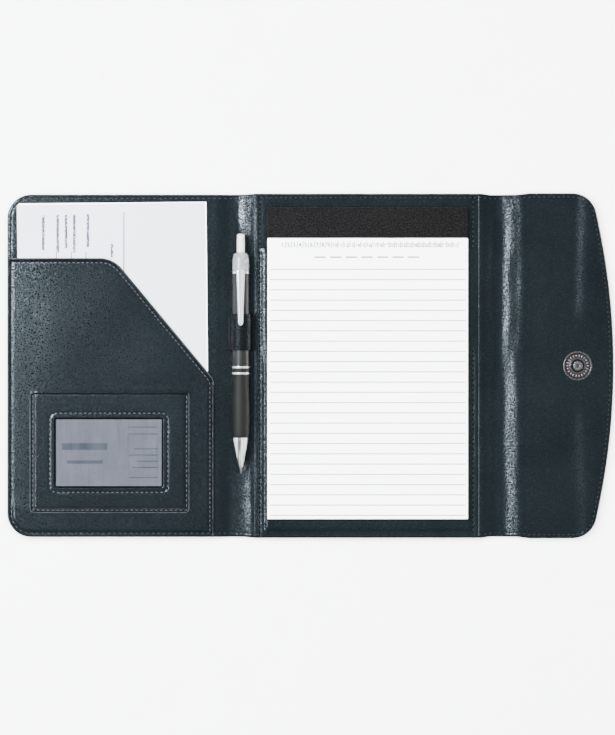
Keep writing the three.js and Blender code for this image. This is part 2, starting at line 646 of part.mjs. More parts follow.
function cardInsert() {
  const middle = frameLeft + CARD_FRAME_WIDTH / 2;
  const bottom = CARD_FRAME_BOTTOM + CARD_FRAME_SEAM + SHEET_GAP;
  const corners = rectangle(
    middle - CARD_WIDTH / 2, middle + CARD_WIDTH / 2, bottom, bottom + CARD_HEIGHT, CARD_CORNER,
  );
  return plate(corners, CARD_Z, CARD);
}

// Centre panel pocket and the pad
const padPocketOutline = rectangle(
  SPINE_CREASE_X + PAD_POCKET_CREASE_INSET, GUSSET_CREASE_X - PAD_POCKET_CREASE_INSET,
  -CENTRE_HALF_HEIGHT + POCKET_EDGE_INSET, PAD_POCKET_TOP,
);
const PAD_POCKET_SEAMS = [PAD_POCKET_SEAM, PAD_POCKET_SEAM, 0, PAD_POCKET_SEAM];

function padPocket() {
  const pocket = sewnPocket(
    padPocketOutline, PAD_POCKET_SEAMS, INNER_Z, PAD_POCKET_LEATHER, PAD_POCKET_DEPTH,
  );
  const side = PAD_POCKET_CREASE_INSET + PAD_POCKET_SEAM;
  const turning = box(
    SPINE_CREASE_X + side, GUSSET_CREASE_X - side, PAD_POCKET_TOP - PAD_POCKET_TURNING, PAD_POCKET_TOP,
    PAD_POCKET_FACE_Z - PAD_POCKET_LEATHER / 2, PAD_POCKET_FACE_Z,
  );
  return join(pocket, turning);
}

function padBackBoard() {
  const top = PAD_BOARD_Z + PAD_BOARD;
  const board = box(PAD_LEFT_X, PAD_LEFT_X + PAD_WIDTH, PAD_BOTTOM, PAD_TOP, PAD_BOARD_Z, top);
  const rebate = box(
    PAD_LEFT_X - OVERCUT, PAD_LEFT_X + PAD_WIDTH + OVERCUT, PAD_TOP - STRIP_BACK_HEIGHT, PAD_TOP + OVERCUT,
    PAD_BOARD_Z - OVERCUT, PAD_BOARD_Z + STRIP_BACK,
  );
  return cut(board, rebate);
}

// The glued stack of leaves. Its bound end reaches down to the back board, and the rest of it lies
// over the pocket, so the board alone goes behind the pocket's leather.
function padSheets() {
  const right = PAD_LEFT_X + PAD_WIDTH;
  const leaves = box(PAD_LEFT_X, right, PAD_BOTTOM, PAD_TOP, PAD_BODY_Z, PAD_BODY_TOP_Z);
  const boundEnd = box(
    PAD_LEFT_X, right, PAD_POCKET_TOP + STRIP_EDGE_GAP, PAD_TOP, PAD_BOARD_Z + PAD_BOARD, PAD_BODY_TOP_Z,
  );
  return join(leaves, boundEnd);
}

// The binding strip: over the front of the leaves, round the top edge and let into the board's back.
function padBindingStrip() {
  const left = PAD_LEFT_X + STRIP_SIDE_INSET;
  const right = PAD_LEFT_X + PAD_WIDTH - STRIP_SIDE_INSET;
  const front = box(left, right, STRIP_BOTTOM, PAD_TOP + STRIP, PAD_BODY_TOP_Z, PAD_BODY_TOP_Z + STRIP);
  const edge = box(left, right, PAD_TOP, PAD_TOP + STRIP, PAD_BOARD_Z, PAD_BODY_TOP_Z + STRIP);
  const back = box(
    left, right, PAD_TOP - STRIP_BACK_HEIGHT + STRIP_EDGE_GAP, PAD_TOP + STRIP,
    PAD_BOARD_Z, PAD_BOARD_Z + STRIP_BACK,
  );
  return join(front, edge, back);
}

function padTopSheet() {
  return box(
    PAD_LEFT_X, PAD_LEFT_X + PAD_WIDTH, PAD_BOTTOM, STRIP_BOTTOM - STRIP_EDGE_GAP, TOP_SHEET_Z, PAD_TOP_Z,
  );
}

// Pen loop: a strip of leather arched over the pen, its two ends sewn flat to the spine.
function penLoop() {
  const shape = new THREE.Shape();
  const flange = LOOP_OUTSIDE + LOOP_FLANGE;
  const rise = PEN_Z - INNER_Z;
  shape.moveTo(-flange, 0);
  shape.lineTo(-LOOP_BORE, 0);
  for (let i = 0; i <= LOOP_STEPS; i += 1) {
    const angle = Math.PI - (Math.PI * i) / LOOP_STEPS;
    shape.lineTo(LOOP_BORE * Math.cos(angle), rise + LOOP_BORE * Math.sin(angle));
  }
  shape.lineTo(LOOP_BORE, 0);
  shape.lineTo(flange, 0);
  shape.lineTo(flange, LOOP_LEATHER);
  shape.lineTo(LOOP_OUTSIDE, LOOP_LEATHER);
  for (let i = 0; i <= LOOP_STEPS; i += 1) {
    const angle = (Math.PI * i) / LOOP_STEPS;
    shape.lineTo(LOOP_OUTSIDE * Math.cos(angle), rise + LOOP_OUTSIDE * Math.sin(angle));
  }
  shape.lineTo(-LOOP_OUTSIDE, LOOP_LEATHER);
  shape.lineTo(-flange, LOOP_LEATHER);
  shape.closePath();
  const strap = new THREE.ExtrudeGeometry(shape, { depth: LOOP_WIDTH, bevelEnabled: false });
  return strap.rotateX(Math.PI / 2).translate(PEN_X, LOOP_TOP, INNER_Z);
}

// Pen parts, revolved about the pen's own axis
function tube(bottom, top, radius, bore) {
  return revolve([[bore, bottom], [radius, bottom], [radius, top], [bore, top]]);
}

// A length of the barrel, or a ring that stands proud of it
function penPart(bottom, top, proud = 0) {
  return tube(bottom, top, BARREL_RADIUS + proud, BARREL_BORE);
}

function penCone() {
  const shoulder = CONE_TIP + CONE_LENGTH / 2;
  const chamber = SPRING_RADIUS + SPRING_WIRE + SPRING_GAP;
  const tipBore = REFILL_TIP_RADIUS + COLLAR_BORE_CLEARANCE;
  return revolve([
    [tipBore - CONE_WALL / 2, CONE_TIP], [CONE_TIP_RADIUS, CONE_TIP],
    [CONE_TOP_RADIUS - CONE_WALL / 2, CONE_TOP - CONE_WALL * 2], [CONE_TOP_RADIUS, CONE_TOP],
    [BARREL_BORE, CONE_TOP], [chamber, shoulder + CONE_WALL], [chamber, shoulder - SPRING_GAP],
    [tipBore, shoulder - SPRING_GAP], [tipBore, CONE_TIP + CONE_WALL],
  ], CONE_FACETS);
}

function penGrip() {
  const waist = GRIP_RADIUS - GRIP_WAIST;
  const quarter = GRIP_LENGTH / 4;
  return revolve([
    [BARREL_BORE, CONE_TOP], [CONE_TOP_RADIUS, CONE_TOP],
    [CONE_TOP_RADIUS + CONE_WALL / 2, CONE_TOP + CONE_WALL],
    [GRIP_RADIUS, CONE_TOP + quarter], [GRIP_RADIUS, GRIP_TOP - 2 * quarter],
    [waist + GRIP_WAIST / 2, GRIP_TOP - quarter], [waist, GRIP_TOP], [BARREL_BORE, GRIP_TOP],
  ]);
}

function penCollar() {
  const bore = BUTTON_RADIUS + COLLAR_BORE_CLEARANCE;
  const points = [[bore, CLIP_RING_TOP], [BARREL_RADIUS, CLIP_RING_TOP]];
  for (let i = 0; i <= COLLAR_STEPS; i += 1) {
    const angle = (Math.PI / 2) * (i / COLLAR_STEPS);
    points.push([
      COLLAR_SHOULDER + (BARREL_RADIUS - COLLAR_SHOULDER) * Math.cos(angle),
      CLIP_RING_TOP + COLLAR_LENGTH / 2 + (COLLAR_LENGTH / 2) * Math.sin(angle),
    ]);
  }
  points.push([bore, COLLAR_TOP]);
  return revolve(points);
}

// The clip is pressed from one strip: a ring between barrel and collar, a riser and a tapered arm.
function penClip() {
  const ring = tube(BARREL_TOP, CLIP_RING_TOP, BARREL_RADIUS, BUTTON_RADIUS + COLLAR_BORE_CLEARANCE);
  const armBottom = LOOP_OUTSIDE + CLIP_LOOP_GAP;
  const armTop = armBottom + CLIP_THICKNESS;
  const half = CLIP_WIDTH / 2;
  const tip = CLIP_TIP_WIDTH / 2;
  const riser = box(-half, half, BARREL_TOP, CLIP_RING_TOP, BARREL_RADIUS * Math.SQRT1_2, armTop);
  const end = BARREL_TOP - CLIP_REACH;
  const arm = plate([
    [-tip, end, tip / 2], [tip, end, tip / 2],
    [half, CLIP_RING_TOP + CLIP_OVERHANG, CLIP_CORNER], [-half, CLIP_RING_TOP + CLIP_OVERHANG, CLIP_CORNER],
  ], armBottom, CLIP_THICKNESS);
  return join(ring, riser, arm);
}

function penButton() {
  const top = COLLAR_TOP + BUTTON_PROUD;
  return revolve([
    [0, BUTTON_BOTTOM], [BUTTON_RADIUS, BUTTON_BOTTOM], [BUTTON_RADIUS, top - BUTTON_ROUNDING],
    [BUTTON_RADIUS - BUTTON_ROUNDING, top], [0, top],
  ]);
}

function penRefill() {
  const tipTop = CONE_TIP + CONE_WALL + BUTTON_TRAVEL;
  return revolve([
    [0, PEN_NIB], [NIB_RADIUS, PEN_NIB + NIB_RADIUS],
    [REFILL_TIP_RADIUS - CONE_WALL / 2, CONE_TIP - NIB_RADIUS],
    [REFILL_TIP_RADIUS - CONE_WALL / 2, tipTop - CONE_WALL],
    [REFILL_TIP_RADIUS, tipTop], [REFILL_TIP_RADIUS, REFILL_CRIMP], [REFILL_CRIMP_RADIUS, REFILL_CRIMP],
    [REFILL_CRIMP_RADIUS, REFILL_CRIMP + REFILL_CRIMP_LENGTH],
    [REFILL_RADIUS, REFILL_CRIMP + REFILL_CRIMP_LENGTH], [REFILL_RADIUS, BUTTON_BOTTOM], [0, BUTTON_BOTTOM],
  ], ROUND_SEGMENTS / 2);
}

// A helix about the pen's axis from bottom to bottom plus length.
class SpringCurve extends THREE.Curve {
  getPoint(t, target = new THREE.Vector3()) {
    const angle = 2 * Math.PI * SPRING_TURNS * t;
    const height = SPRING_BOTTOM + SPRING_WIRE + (SPRING_LENGTH - 2 * SPRING_WIRE) * t;
    return target.set(SPRING_RADIUS * Math.cos(angle), height, SPRING_RADIUS * Math.sin(angle));
  }
}

function penSpring() {
  const section = new THREE.Shape();
  for (let i = 0; i < SPRING_SIDES; i += 1) {
    const angle = (2 * Math.PI * i) / SPRING_SIDES;
    const point = [SPRING_WIRE * Math.cos(angle), SPRING_WIRE * Math.sin(angle)];
    if (i === 0) section.moveTo(...point);
    else section.lineTo(...point);
  }
  section.closePath();
  const steps = SPRING_TURNS * SPRING_STEPS_PER_TURN;
  return new THREE.ExtrudeGeometry(section, { steps, extrudePath: new SpringCurve() });
}

// The stud half: a pressed plate with a raised rim, a ring of bumps and a dark well round the post.
function studPlate() {
  const low = INNER_Z;
  const top = INNER_Z + STUD_PLATE;
  const floor = INNER_Z + STUD_BASE;
  const rimIn = SNAP_RADIUS - STUD_RIM;
  const edge = STUD_EDGE;
  const ringTop = floor + (STUD_PLATE - STUD_BASE) / 2;
  const disc = revolveUp([
    [0, low], [SNAP_RADIUS, low], [SNAP_RADIUS, top - edge], [SNAP_RADIUS - edge, top],
    [rimIn + edge, top], [rimIn, floor], [STUD_INNER_RING + STUD_RIM / 2, floor],
    [STUD_INNER_RING + edge, ringTop], [STUD_INNER_RING, ringTop],
    [STUD_INNER_RING, low + STUD_BASE / 2], [0, low + STUD_BASE / 2],
  ], STUD_X);
  const tip = LINING_Z - WASHER - PRONG_THICKNESS;
  return join(disc, ...studBumps(floor), ...prongs(STUD_X, low + STUD_BASE / 4, tip));
}

function studBumps(floor) {
  const ringRadius = (SNAP_RADIUS - STUD_RIM + STUD_INNER_RING + STUD_RIM / 2) / 2;
  return Array.from({ length: STUD_BUMPS }, (_, i) => {
    const angle = (2 * Math.PI * i) / STUD_BUMPS;
    const bump = new THREE.SphereGeometry(STUD_BUMP_RADIUS, STUD_BUMP_SIDES, STUD_BUMP_RINGS);
    bump.scale(STUD_BUMP_STRETCH, 1, 1).rotateZ(angle);
    return bump.translate(STUD_X + ringRadius * Math.cos(angle), ringRadius * Math.sin(angle), floor);
  });
}

// The post: a rounded triangle in plan, with a small dimple in its end.
function studPost() {
  const shape = new THREE.Shape();
  const steps = SNAP_SEGMENTS;
  for (let i = 0; i < steps; i += 1) {
    const angle = (2 * Math.PI * i) / steps;
    const radius = POST_RADIUS * (1 + POST_LOBE * Math.cos(POST_LOBES * angle)) - POST_ROUNDING;
    if (i === 0) shape.moveTo(radius * Math.cos(angle), radius * Math.sin(angle));
    else shape.lineTo(radius * Math.cos(angle), radius * Math.sin(angle));
  }
  shape.closePath();
  const bottom = INNER_Z + STUD_BASE / 2;
  const height = STUD_PLATE - STUD_BASE / 2 + POST_PROUD;
  const post = new THREE.ExtrudeGeometry(shape, {
    depth: height - 2 * POST_ROUNDING,
    bevelEnabled: true,
    bevelThickness: POST_ROUNDING,
    bevelSize: POST_ROUNDING,
    bevelSegments: POST_BEVEL_STEPS,
  });
  post.translate(STUD_X, 0, bottom + POST_ROUNDING);
  const dimple = new THREE.SphereGeometry(POST_DIMPLE, DIMPLE_SIDES, DIMPLE_RINGS);
  dimple.translate(STUD_X, 0, bottom + height + POST_DIMPLE / 2);
  return cut(post, dimple);
}

function flapBoard() {
  const bottom = UNDERSIDE_Z + SKIN;
  const board = extrude(flapShape(EDGE_SEAM, CREASE_SEAM), bottom, BOARD, BOW_SEGMENTS);
  return cut(board, washerHollow(STUD_X, LINING_Z - WASHER_ROOM, LINING_Z + OVERCUT));
}

function flapLining() {
  const lining = extrude(flapShape(0, 0), LINING_Z, LINING, BOW_SEGMENTS);
  return cut(lining, ...prongSlots(STUD_X, LINING_Z - OVERCUT, INNER_Z + OVERCUT));
}

const folio = new THREE.Group();

function add(parent, name, geometry, finish) {
  const mesh = new THREE.Mesh(geometry, material(finish));
  mesh.name = name;
  parent.add(mesh);
}

const frontCover = new THREE.Group();
add(frontCover, 'front_outer_skin', frontSkin(), LEATHER);
add(frontCover, 'front_board', frontBoard(), GREYBOARD);
add(frontCover, 'front_lining', plate(coverOutline, LINING_Z, LINING), LINING_LEATHER);
add(frontCover, 'document_pocket', documentPocket(), LEATHER);
add(frontCover, 'document_pocket_piping', documentPocketPiping(), LEATHER);
add(frontCover, 'card_pocket_frame', cardFrame(), LEATHER);
add(frontCover, 'card_pocket_piping', cardPiping(), LEATHER);
add(frontCover, 'card_window_film', windowFilm(), CLEAR_FILM);
add(frontCover, 'snap_socket_cap', socketCap(), STEEL);
add(frontCover, 'snap_socket_magnet', socketMagnet(), MAGNET);
add(frontCover, 'snap_socket_base', socketBase(), STEEL);
add(frontCover, 'snap_socket_washer', washer(SOCKET_X, UNDERSIDE_Z + SKIN), STEEL);
add(frontCover, 'loose_sheet_back', looseSheet(BACK_SHEET_OFFSET_X, BACK_SHEET_OFFSET_Y, 0), LOOSE_PAPER);
add(frontCover, 'loose_sheet_front', looseSheet(0, 0, 1), LOOSE_PAPER);
add(frontCover, 'card_insert', cardInsert(), CARD_STOCK);
folio.add(frontCover);

const spine = new THREE.Group();
add(spine, 'spine_outer_skin', outerSkin(spineOutline, FOLD_SEAMS, FOLD_BOTTOM_Z, INTERLINING), LEATHER);
add(spine, 'spine_interlining', interlining(spineOutline), FOAM);
add(spine, 'spine_lining', plate(spineOutline, LINING_Z, LINING), LINING_LEATHER);
add(spine, 'pen_loop', penLoop(), LEATHER);
folio.add(spine);

const pen = new THREE.Group();
pen.position.set(PEN_X, 0, PEN_Z);
add(pen, 'pen_cone', penCone(), SILVER);
add(pen, 'pen_grip', penGrip(), RUBBER);
add(pen, 'pen_ring_lower', penPart(GRIP_TOP, LOWER_RING_TOP, RING_PROUD), SILVER);
add(pen, 'pen_sleeve', penPart(LOWER_RING_TOP, SLEEVE_TOP), RUBBER);
add(pen, 'pen_ring_upper', penPart(SLEEVE_TOP, UPPER_RING_TOP, RING_PROUD), SILVER);
add(pen, 'pen_barrel', penPart(UPPER_RING_TOP, BARREL_TOP), DARK_BARREL);
add(pen, 'pen_clip', penClip(), SILVER);
add(pen, 'pen_collar', penCollar(), SILVER);
add(pen, 'pen_button', penButton(), SILVER);
add(pen, 'pen_refill', penRefill(), REFILL_PLASTIC);
add(pen, 'pen_spring', penSpring(), STEEL);
folio.add(pen);

const centre = new THREE.Group();
add(centre, 'centre_outer_skin', outerSkin(centreOutline, FOLD_SEAMS, UNDERSIDE_Z, BOARD), LEATHER);
add(centre, 'centre_board', plate(inset(centreOutline, FOLD_SEAMS), UNDERSIDE_Z + SKIN, BOARD), GREYBOARD);
add(centre, 'centre_lining', plate(centreOutline, LINING_Z, LINING), LINING_LEATHER);
add(centre, 'pad_pocket', padPocket(), LEATHER);
folio.add(centre);

const pad = new THREE.Group();
add(pad, 'pad_back_board', padBackBoard(), GREYBOARD);
add(pad, 'pad_sheets', padSheets(), PAPER);
add(pad, 'pad_binding_strip', padBindingStrip(), BINDING_LEATHER);
add(pad, 'pad_top_sheet', padTopSheet(), PAPER);
folio.add(pad);

const gusset = new THREE.Group();
add(gusset, 'gusset_outer_skin', outerSkin(gussetOutline, FOLD_SEAMS, FOLD_BOTTOM_Z, INTERLINING), LEATHER);
add(gusset, 'gusset_interlining', interlining(gussetOutline), FOAM);
add(gusset, 'gusset_lining', plate(gussetOutline, LINING_Z, LINING), LINING_LEATHER);
folio.add(gusset);

const flap = new THREE.Group();
add(flap, 'flap_outer_skin', flapSkin(), LEATHER);
add(flap, 'flap_board', flapBoard(), GREYBOARD);
add(flap, 'flap_lining', flapLining(), LINING_LEATHER);
add(flap, 'snap_stud_plate', studPlate(), STEEL);
add(flap, 'snap_stud_post', studPost(), STEEL);
add(flap, 'snap_stud_washer', washer(STUD_X, LINING_Z - WASHER), STEEL);
folio.add(flap);

export default folio;
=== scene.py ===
import math

import bmesh
import bpy
import numpy as np
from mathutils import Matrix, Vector, noise


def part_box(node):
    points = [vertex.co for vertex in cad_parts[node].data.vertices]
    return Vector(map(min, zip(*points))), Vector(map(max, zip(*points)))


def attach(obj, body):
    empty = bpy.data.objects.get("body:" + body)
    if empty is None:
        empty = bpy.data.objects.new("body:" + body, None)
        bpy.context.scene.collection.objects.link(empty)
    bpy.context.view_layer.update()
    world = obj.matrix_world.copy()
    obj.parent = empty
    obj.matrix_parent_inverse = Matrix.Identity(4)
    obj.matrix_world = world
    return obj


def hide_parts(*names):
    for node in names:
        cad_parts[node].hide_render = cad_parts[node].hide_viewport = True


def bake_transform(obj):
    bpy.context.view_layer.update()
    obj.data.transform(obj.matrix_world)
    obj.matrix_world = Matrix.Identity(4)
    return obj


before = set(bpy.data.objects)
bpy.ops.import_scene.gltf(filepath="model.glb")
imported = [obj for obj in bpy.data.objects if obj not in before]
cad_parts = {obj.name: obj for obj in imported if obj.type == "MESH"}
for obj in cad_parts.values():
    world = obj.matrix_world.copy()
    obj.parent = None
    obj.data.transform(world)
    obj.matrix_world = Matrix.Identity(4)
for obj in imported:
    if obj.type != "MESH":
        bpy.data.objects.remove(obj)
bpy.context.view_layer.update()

# Lengths below are in millimetres, and scaled once when a mesh is made.
MM = 0.001


def span(node):
    """Lowest and highest corner of a CAD node at rest, in millimetres."""
    return [[v / MM for v in corner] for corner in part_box(node)]


# Places read from the frame
COVER_LOW, COVER_HIGH = span("front_outer_skin")
SPINE_LOW, SPINE_HIGH = span("spine_outer_skin")
CENTRE_HIGH = span("centre_outer_skin")[1]
FLAP_LOW, FLAP_HIGH = span("flap_outer_skin")
POCKET_LOW, POCKET_HIGH = span("document_pocket")
FRAME_LOW, FRAME_HIGH = span("card_pocket_frame")
FILM_LOW, FILM_HIGH = span("card_window_film")
PAD_POCKET_LOW, PAD_POCKET_HIGH = span("pad_pocket")
LEAVES_LOW, LEAVES_HIGH = span("pad_sheets")
STRIP_LOW, STRIP_HIGH = span("pad_binding_strip")
PAGE_LOW, PAGE_HIGH = span("pad_top_sheet")
LOOP_LOW, LOOP_HIGH = span("pen_loop")
GRIP_LOW, GRIP_HIGH = span("pen_grip")
STUD_LOW, STUD_HIGH = span("snap_stud_plate")
SOCKET_LOW, SOCKET_HIGH = span("snap_socket_cap")

COVER_EDGE, COVER_CREASE, SPINE_CREASE = COVER_LOW[0], COVER_HIGH[0], SPINE_HIGH[0]
GUSSET_CREASE, FLAP_CREASE, FLAP_TIP = CENTRE_HIGH[0], FLAP_LOW[0], FLAP_HIGH[0]
COVER_HALF, CENTRE_HALF, FLAP_HALF = COVER_HIGH[1], CENTRE_HIGH[1], FLAP_HIGH[1]
UNDER, FOLD_UNDER, INNER = COVER_LOW[2], SPINE_LOW[2], span("front_lining")[1][2]
MID_SPINE = (COVER_CREASE + SPINE_CREASE) / 2
MID_CENTRE = (SPINE_CREASE + GUSSET_CREASE) / 2
MID_GUSSET = (GUSSET_CREASE + FLAP_CREASE) / 2
PEN_X, PEN_Z = ((GRIP_LOW[k] + GRIP_HIGH[k]) / 2 for k in (0, 2))
STUD_X = (STUD_LOW[0] + STUD_HIGH[0]) / 2
SOCKET_X = (SOCKET_LOW[0] + SOCKET_HIGH[0]) / 2

# Leather
COVER_CORNER, FLAP_CORNER, FLAP_BOW = 15.5, 16, 441
EDGE_ROUND, PATCH_ROUND = 1.3, 0.4
LEATHER = 0.8
BEND, PAGE_BEND = 4, 14
SHELL_INSETS = [0, 0.1, 0.3, 0.6, 1.0, 1.5, 2.0, 2.4, 2.8, 3.2, 3.8, 4.8]
PATCH_INSETS = [0, 0.08, 0.2, 0.35, 0.6, 1.0, 1.5, 2.0, 2.4, 2.8, 3.4, 4.4]
FRAME_INSETS = [0, 0.08, 0.2, 0.4, 0.7, 1.1, 1.5, 1.9, 2.3, 2.7, 3.1, 3.5, 4, 5]
ALL_SIDES = ("left", "right", "bottom", "top")
FACING_UP = 0.7
PAD_COLUMNS = (SPINE_CREASE + 1.5, GUSSET_CREASE - 3.5)

# Stitches
STITCH_INSET, MOUTH_SEAM, FRAME_SEAM, WINDOW_SEAM = 2.6, 3.1, 2, 3.1
STITCH_PITCH, EDGE_PITCH, POCKET_PITCH = 3.15, 3.5, 2.93
STITCH_LENGTH, THREAD, THREAD_FLATNESS = 2.1, 0.32, 0.65
STITCH_LIFT, HOLE_LIFT, NEEDLE_HOLE = -0.05, 0.02, 0.5

# Seam lines, painted shadows and painted highlights: half widths, and how far inside a turned edge they run
SEAM_SHADOW, HIGHLIGHT_HALF, WINDOW_SHADOW = 0.3, 0.2, 0.5
GAP_INSET, HIGHLIGHT_INSET, HIGHLIGHT_DOWN_TO = 1.85, 0.45, -26


def place(x, y=0.0, z=INNER):
    return (x * MM, y * MM, z * MM)


def crease_fold(x, *bodies):
    return bodies, place(x - BEND), place(x + BEND)


# Each fold: the two bodies it joins, and where the bend starts and ends
COVER_FOLD = crease_fold(COVER_CREASE, "front_cover", "spine")
SPINE_FOLD = crease_fold(SPINE_CREASE, "spine", "centre_panel")
GUSSET_FOLD = crease_fold(GUSSET_CREASE, "centre_panel", "gusset")
FLAP_FOLD = crease_fold(FLAP_CREASE, "gusset", "flap")
PAGE_FOLD = (("pad", "pad_page"), place(MID_CENTRE, PAGE_HIGH[1], PAGE_HIGH[2]),
             place(MID_CENTRE, PAGE_HIGH[1] - PAGE_BEND, PAGE_HIGH[2]))


def smooth(t):
    t = np.clip(t, 0, 1)
    return t * t * (3 - 2 * t)


def bell(x, centre, width):
    return np.exp(-((x - centre) / width) ** 2)


def window(x, start, end, lead, tail):
    """1 between two places, with a soft rise and fall."""
    return smooth((x - start) / lead) * smooth((end - x) / tail)


def ripple(x, y, scale_x, scale_y, seed):
    """Smooth noise from about -1 to 1, with hills about that many millimetres across."""
    x, y = np.broadcast_arrays(np.asarray(x, float), np.asarray(y, float))
    flat = [noise.noise(Vector((a / scale_x, b / scale_y, seed))) for a, b in zip(x.ravel(), y.ravel())]
    return np.array(flat).reshape(x.shape) * 1.6


# Meshes

def add_mesh(name, vertices, faces, material, crease=40, merge=0.002):
    """A mesh from millimetre vertices, its shared corners merged, its faces turned out."""
    mesh = bpy.data.meshes.new(name)
    mesh.from_pydata([tuple(v * MM for v in p) for p in np.asarray(vertices, float)], [],
                     [tuple(f) for f in faces])
    work = bmesh.new()
    work.from_mesh(mesh)
    bmesh.ops.remove_doubles(work, verts=work.verts, dist=merge * MM)
    bmesh.ops.dissolve_degenerate(work, edges=work.edges, dist=merge * MM / 4)
    bmesh.ops.recalc_face_normals(work, faces=work.faces)
    work.to_mesh(mesh)
    work.free()
    mesh.shade_smooth()
    mesh.set_sharp_from_angle(angle=math.radians(crease))
    mesh.materials.append(material)
    piece = bpy.data.objects.new(name, mesh)
    bpy.context.scene.collection.objects.link(piece)
    return piece


def joined(parts):
    """The vertices and faces of several parts as one."""
    vertices, faces = [], []
    for new_vertices, new_faces in parts:
        faces += [tuple(i + len(vertices) for i in face) for face in new_faces]
        vertices += list(new_vertices)
    return vertices, faces


def many(name, parts, material, crease=180):
    """One mesh of many small bodies."""
    return add_mesh(name, *joined(parts), material, crease, 0.0005)


def loop_faces(count, size, closed=False):
    """Quads between loops of equal size, capped at their ends unless they close on themselves."""
    faces = []
    for i in range(count if closed else count - 1):
        a, b = i * size, (i + 1) % count * size
        faces += [(a + j, a + (j + 1) % size, b + (j + 1) % size, b + j) for j in range(size)]
    if not closed:
        faces += [tuple(range(size)), tuple(range((count - 1) * size, count * size))]
    return faces


def loft(name, loops, material, closed=False, crease=40):
    faces = loop_faces(len(loops), len(loops[0]), closed)
    return add_mesh(name, np.concatenate(loops), faces, material, crease)


def shell(name, points, top, bottom, walls, material):
    """A closed thin body over a plan grid. Borders named in walls get an upright wall."""
    upper, lower = (np.dstack([points, z]).reshape(-1, 3) for z in (top, bottom))
    size = len(upper)
    index = np.arange(size).reshape(points.shape[:2])
    corners = (index[:-1, :-1], index[1:, :-1], index[1:, 1:], index[:-1, 1:])
    quads = [tuple(quad) for quad in np.stack(corners, -1).reshape(-1, 4)]
    faces = quads + [tuple(i + size for i in quad[::-1]) for quad in quads]
    borders = {"left": index[0], "right": index[-1], "bottom": index[:, 0], "top": index[:, -1]}
    for wall in walls:
        line = borders[wall]
        faces += [(a, b, b + size, a + size) for a, b in zip(line[:-1], line[1:])]
    return add_mesh(name, np.concatenate([upper, lower]), faces, material, 45)


def columns(*values):
    """Columns side by side, single numbers repeated."""
    return np.column_stack(np.broadcast_arrays(*values))


def sweep(name, path, section, material):
    """A section (across, up) carried along a path that turns only in the plan."""
    path = np.asarray(path, float)
    tangent = np.gradient(path[:, :2], axis=0)
    tangent /= np.linalg.norm(tangent, axis=1)[:, None]
    return loft(name, [[(x + ty * a, y - tx * a, z + b) for a, b in section]
                       for (x, y, z), (tx, ty) in zip(path, tangent)], material)


def pillow(half_width, half_height, count=14, power=2.6):
    """A softly squared round section."""
    angles = 2 * np.pi * (np.arange(count) + 0.5) / count
    return np.column_stack([half * np.sign(wave) * np.abs(wave) ** (2 / power)
                            for half, wave in ((half_width, np.cos(angles)), (half_height, np.sin(angles)))])


def dress(piece, slot, where, *nodes):
    """Attaches a piece to the body it rides on, or bakes its transform where it lies over a fold, and hides the
    solids it stands for. The slot is not used.
    """
    if isinstance(where, str):
        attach(piece, where)
    else:
        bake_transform(piece)
    if nodes:
        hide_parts(*nodes)


# Outlines in the plan

STRAIGHT = 1e-6


def arc(before, corner, after, radius, steps=12):
    """The points that round a corner, or the corner itself where the radius is 0."""
    here = np.array(corner, float)
    a, b = np.array(before, float) - here, np.array(after, float) - here
    a, b = a / np.linalg.norm(a), b / np.linalg.norm(b)
    if radius <= 0 or abs(a[0] * b[1] - a[1] * b[0]) < STRAIGHT:
        return np.repeat([here], steps + 1, axis=0)
    half = math.acos(np.clip(a @ b, -1, 1)) / 2
    centre = here + (a + b) / np.linalg.norm(a + b) * radius / math.sin(half)
    first, last = (math.atan2(v[1], v[0]) for v in (here + side * radius / math.tan(half) - centre
                                                    for side in (a, b)))
    turn = (last - first + math.pi) % (2 * math.pi) - math.pi
    return circle(radius, first + turn * np.linspace(0, 1, steps + 1), *centre)


def circle(radius, angles, x=0.0, y=0.0):
    return np.column_stack([x + radius * np.cos(angles), y + radius * np.sin(angles)])


def turns(count):
    """Angles of a full turn."""
    return 2 * np.pi * np.arange(count) / count


def corner_arcs(corners, steps=12):
    """The rounded corners (x, y, radius) of a closed outline."""
    count = len(corners)
    return [arc(corners[i - 1][:2], corners[i][:2], corners[(i + 1) % count][:2], corners[i][2], steps)
            for i in range(count)]


def inset(corners, distances):
    """Corners (x, y, radius) moved in, edge by edge; edge i runs from corner i to the next."""
    edges = []
    for (x, y, _), (nx, ny, _), distance in zip(corners, corners[1:] + corners[:1], distances):
        length = math.hypot(nx - x, ny - y)
        dx, dy = (nx - x) / length, (ny - y) / length
        edges.append((x - dy * distance, y + dx * distance, dx, dy))
    moved = []
    for i, (_, _, radius) in enumerate(corners):
        ax, ay, adx, ady = edges[i - 1]
        bx, by, bdx, bdy = edges[i]
        cross = adx * bdy - ady * bdx
        along = ((bx - ax) * bdy - (by - ay) * bdx) / cross if abs(cross) > STRAIGHT else 0
        x, y = (ax + adx * along, ay + ady * along) if along else (bx, by)
        moved.append((x, y, max(radius - max(distances[i - 1], distances[i]), 0)))
    return moved


def patch_sides(corners, distances, breaks=(0, 1, 2, 3)):
    """Bottom, right, top and left of an outline moved in, broken in the middle of four corners."""
    arcs = corner_arcs(inset(corners, distances))
    middle = len(arcs[0]) // 2
    sides = []
    for start, end in zip(breaks, breaks[1:] + breaks[:1]):
        between = range(start + 1, end if end > start else end + len(arcs))
        sides.append(np.concatenate([arcs[start][middle:], *(arcs[i % len(arcs)] for i in between),
                                     arcs[end][:middle + 1]]))
    bottom, right, top, left = sides
    return bottom, right, top[::-1], left[::-1]


def rectangle(low, high, radius, grow=0.0):
    """Corners of an upright rectangle, grown on every side."""
    x0, y0, x1, y1 = low[0] - grow, low[1] - grow, high[0] + grow, high[1] + grow
    return [(x0, y0, radius), (x1, y0, radius), (x1, y1, radius), (x0, y1, radius)]


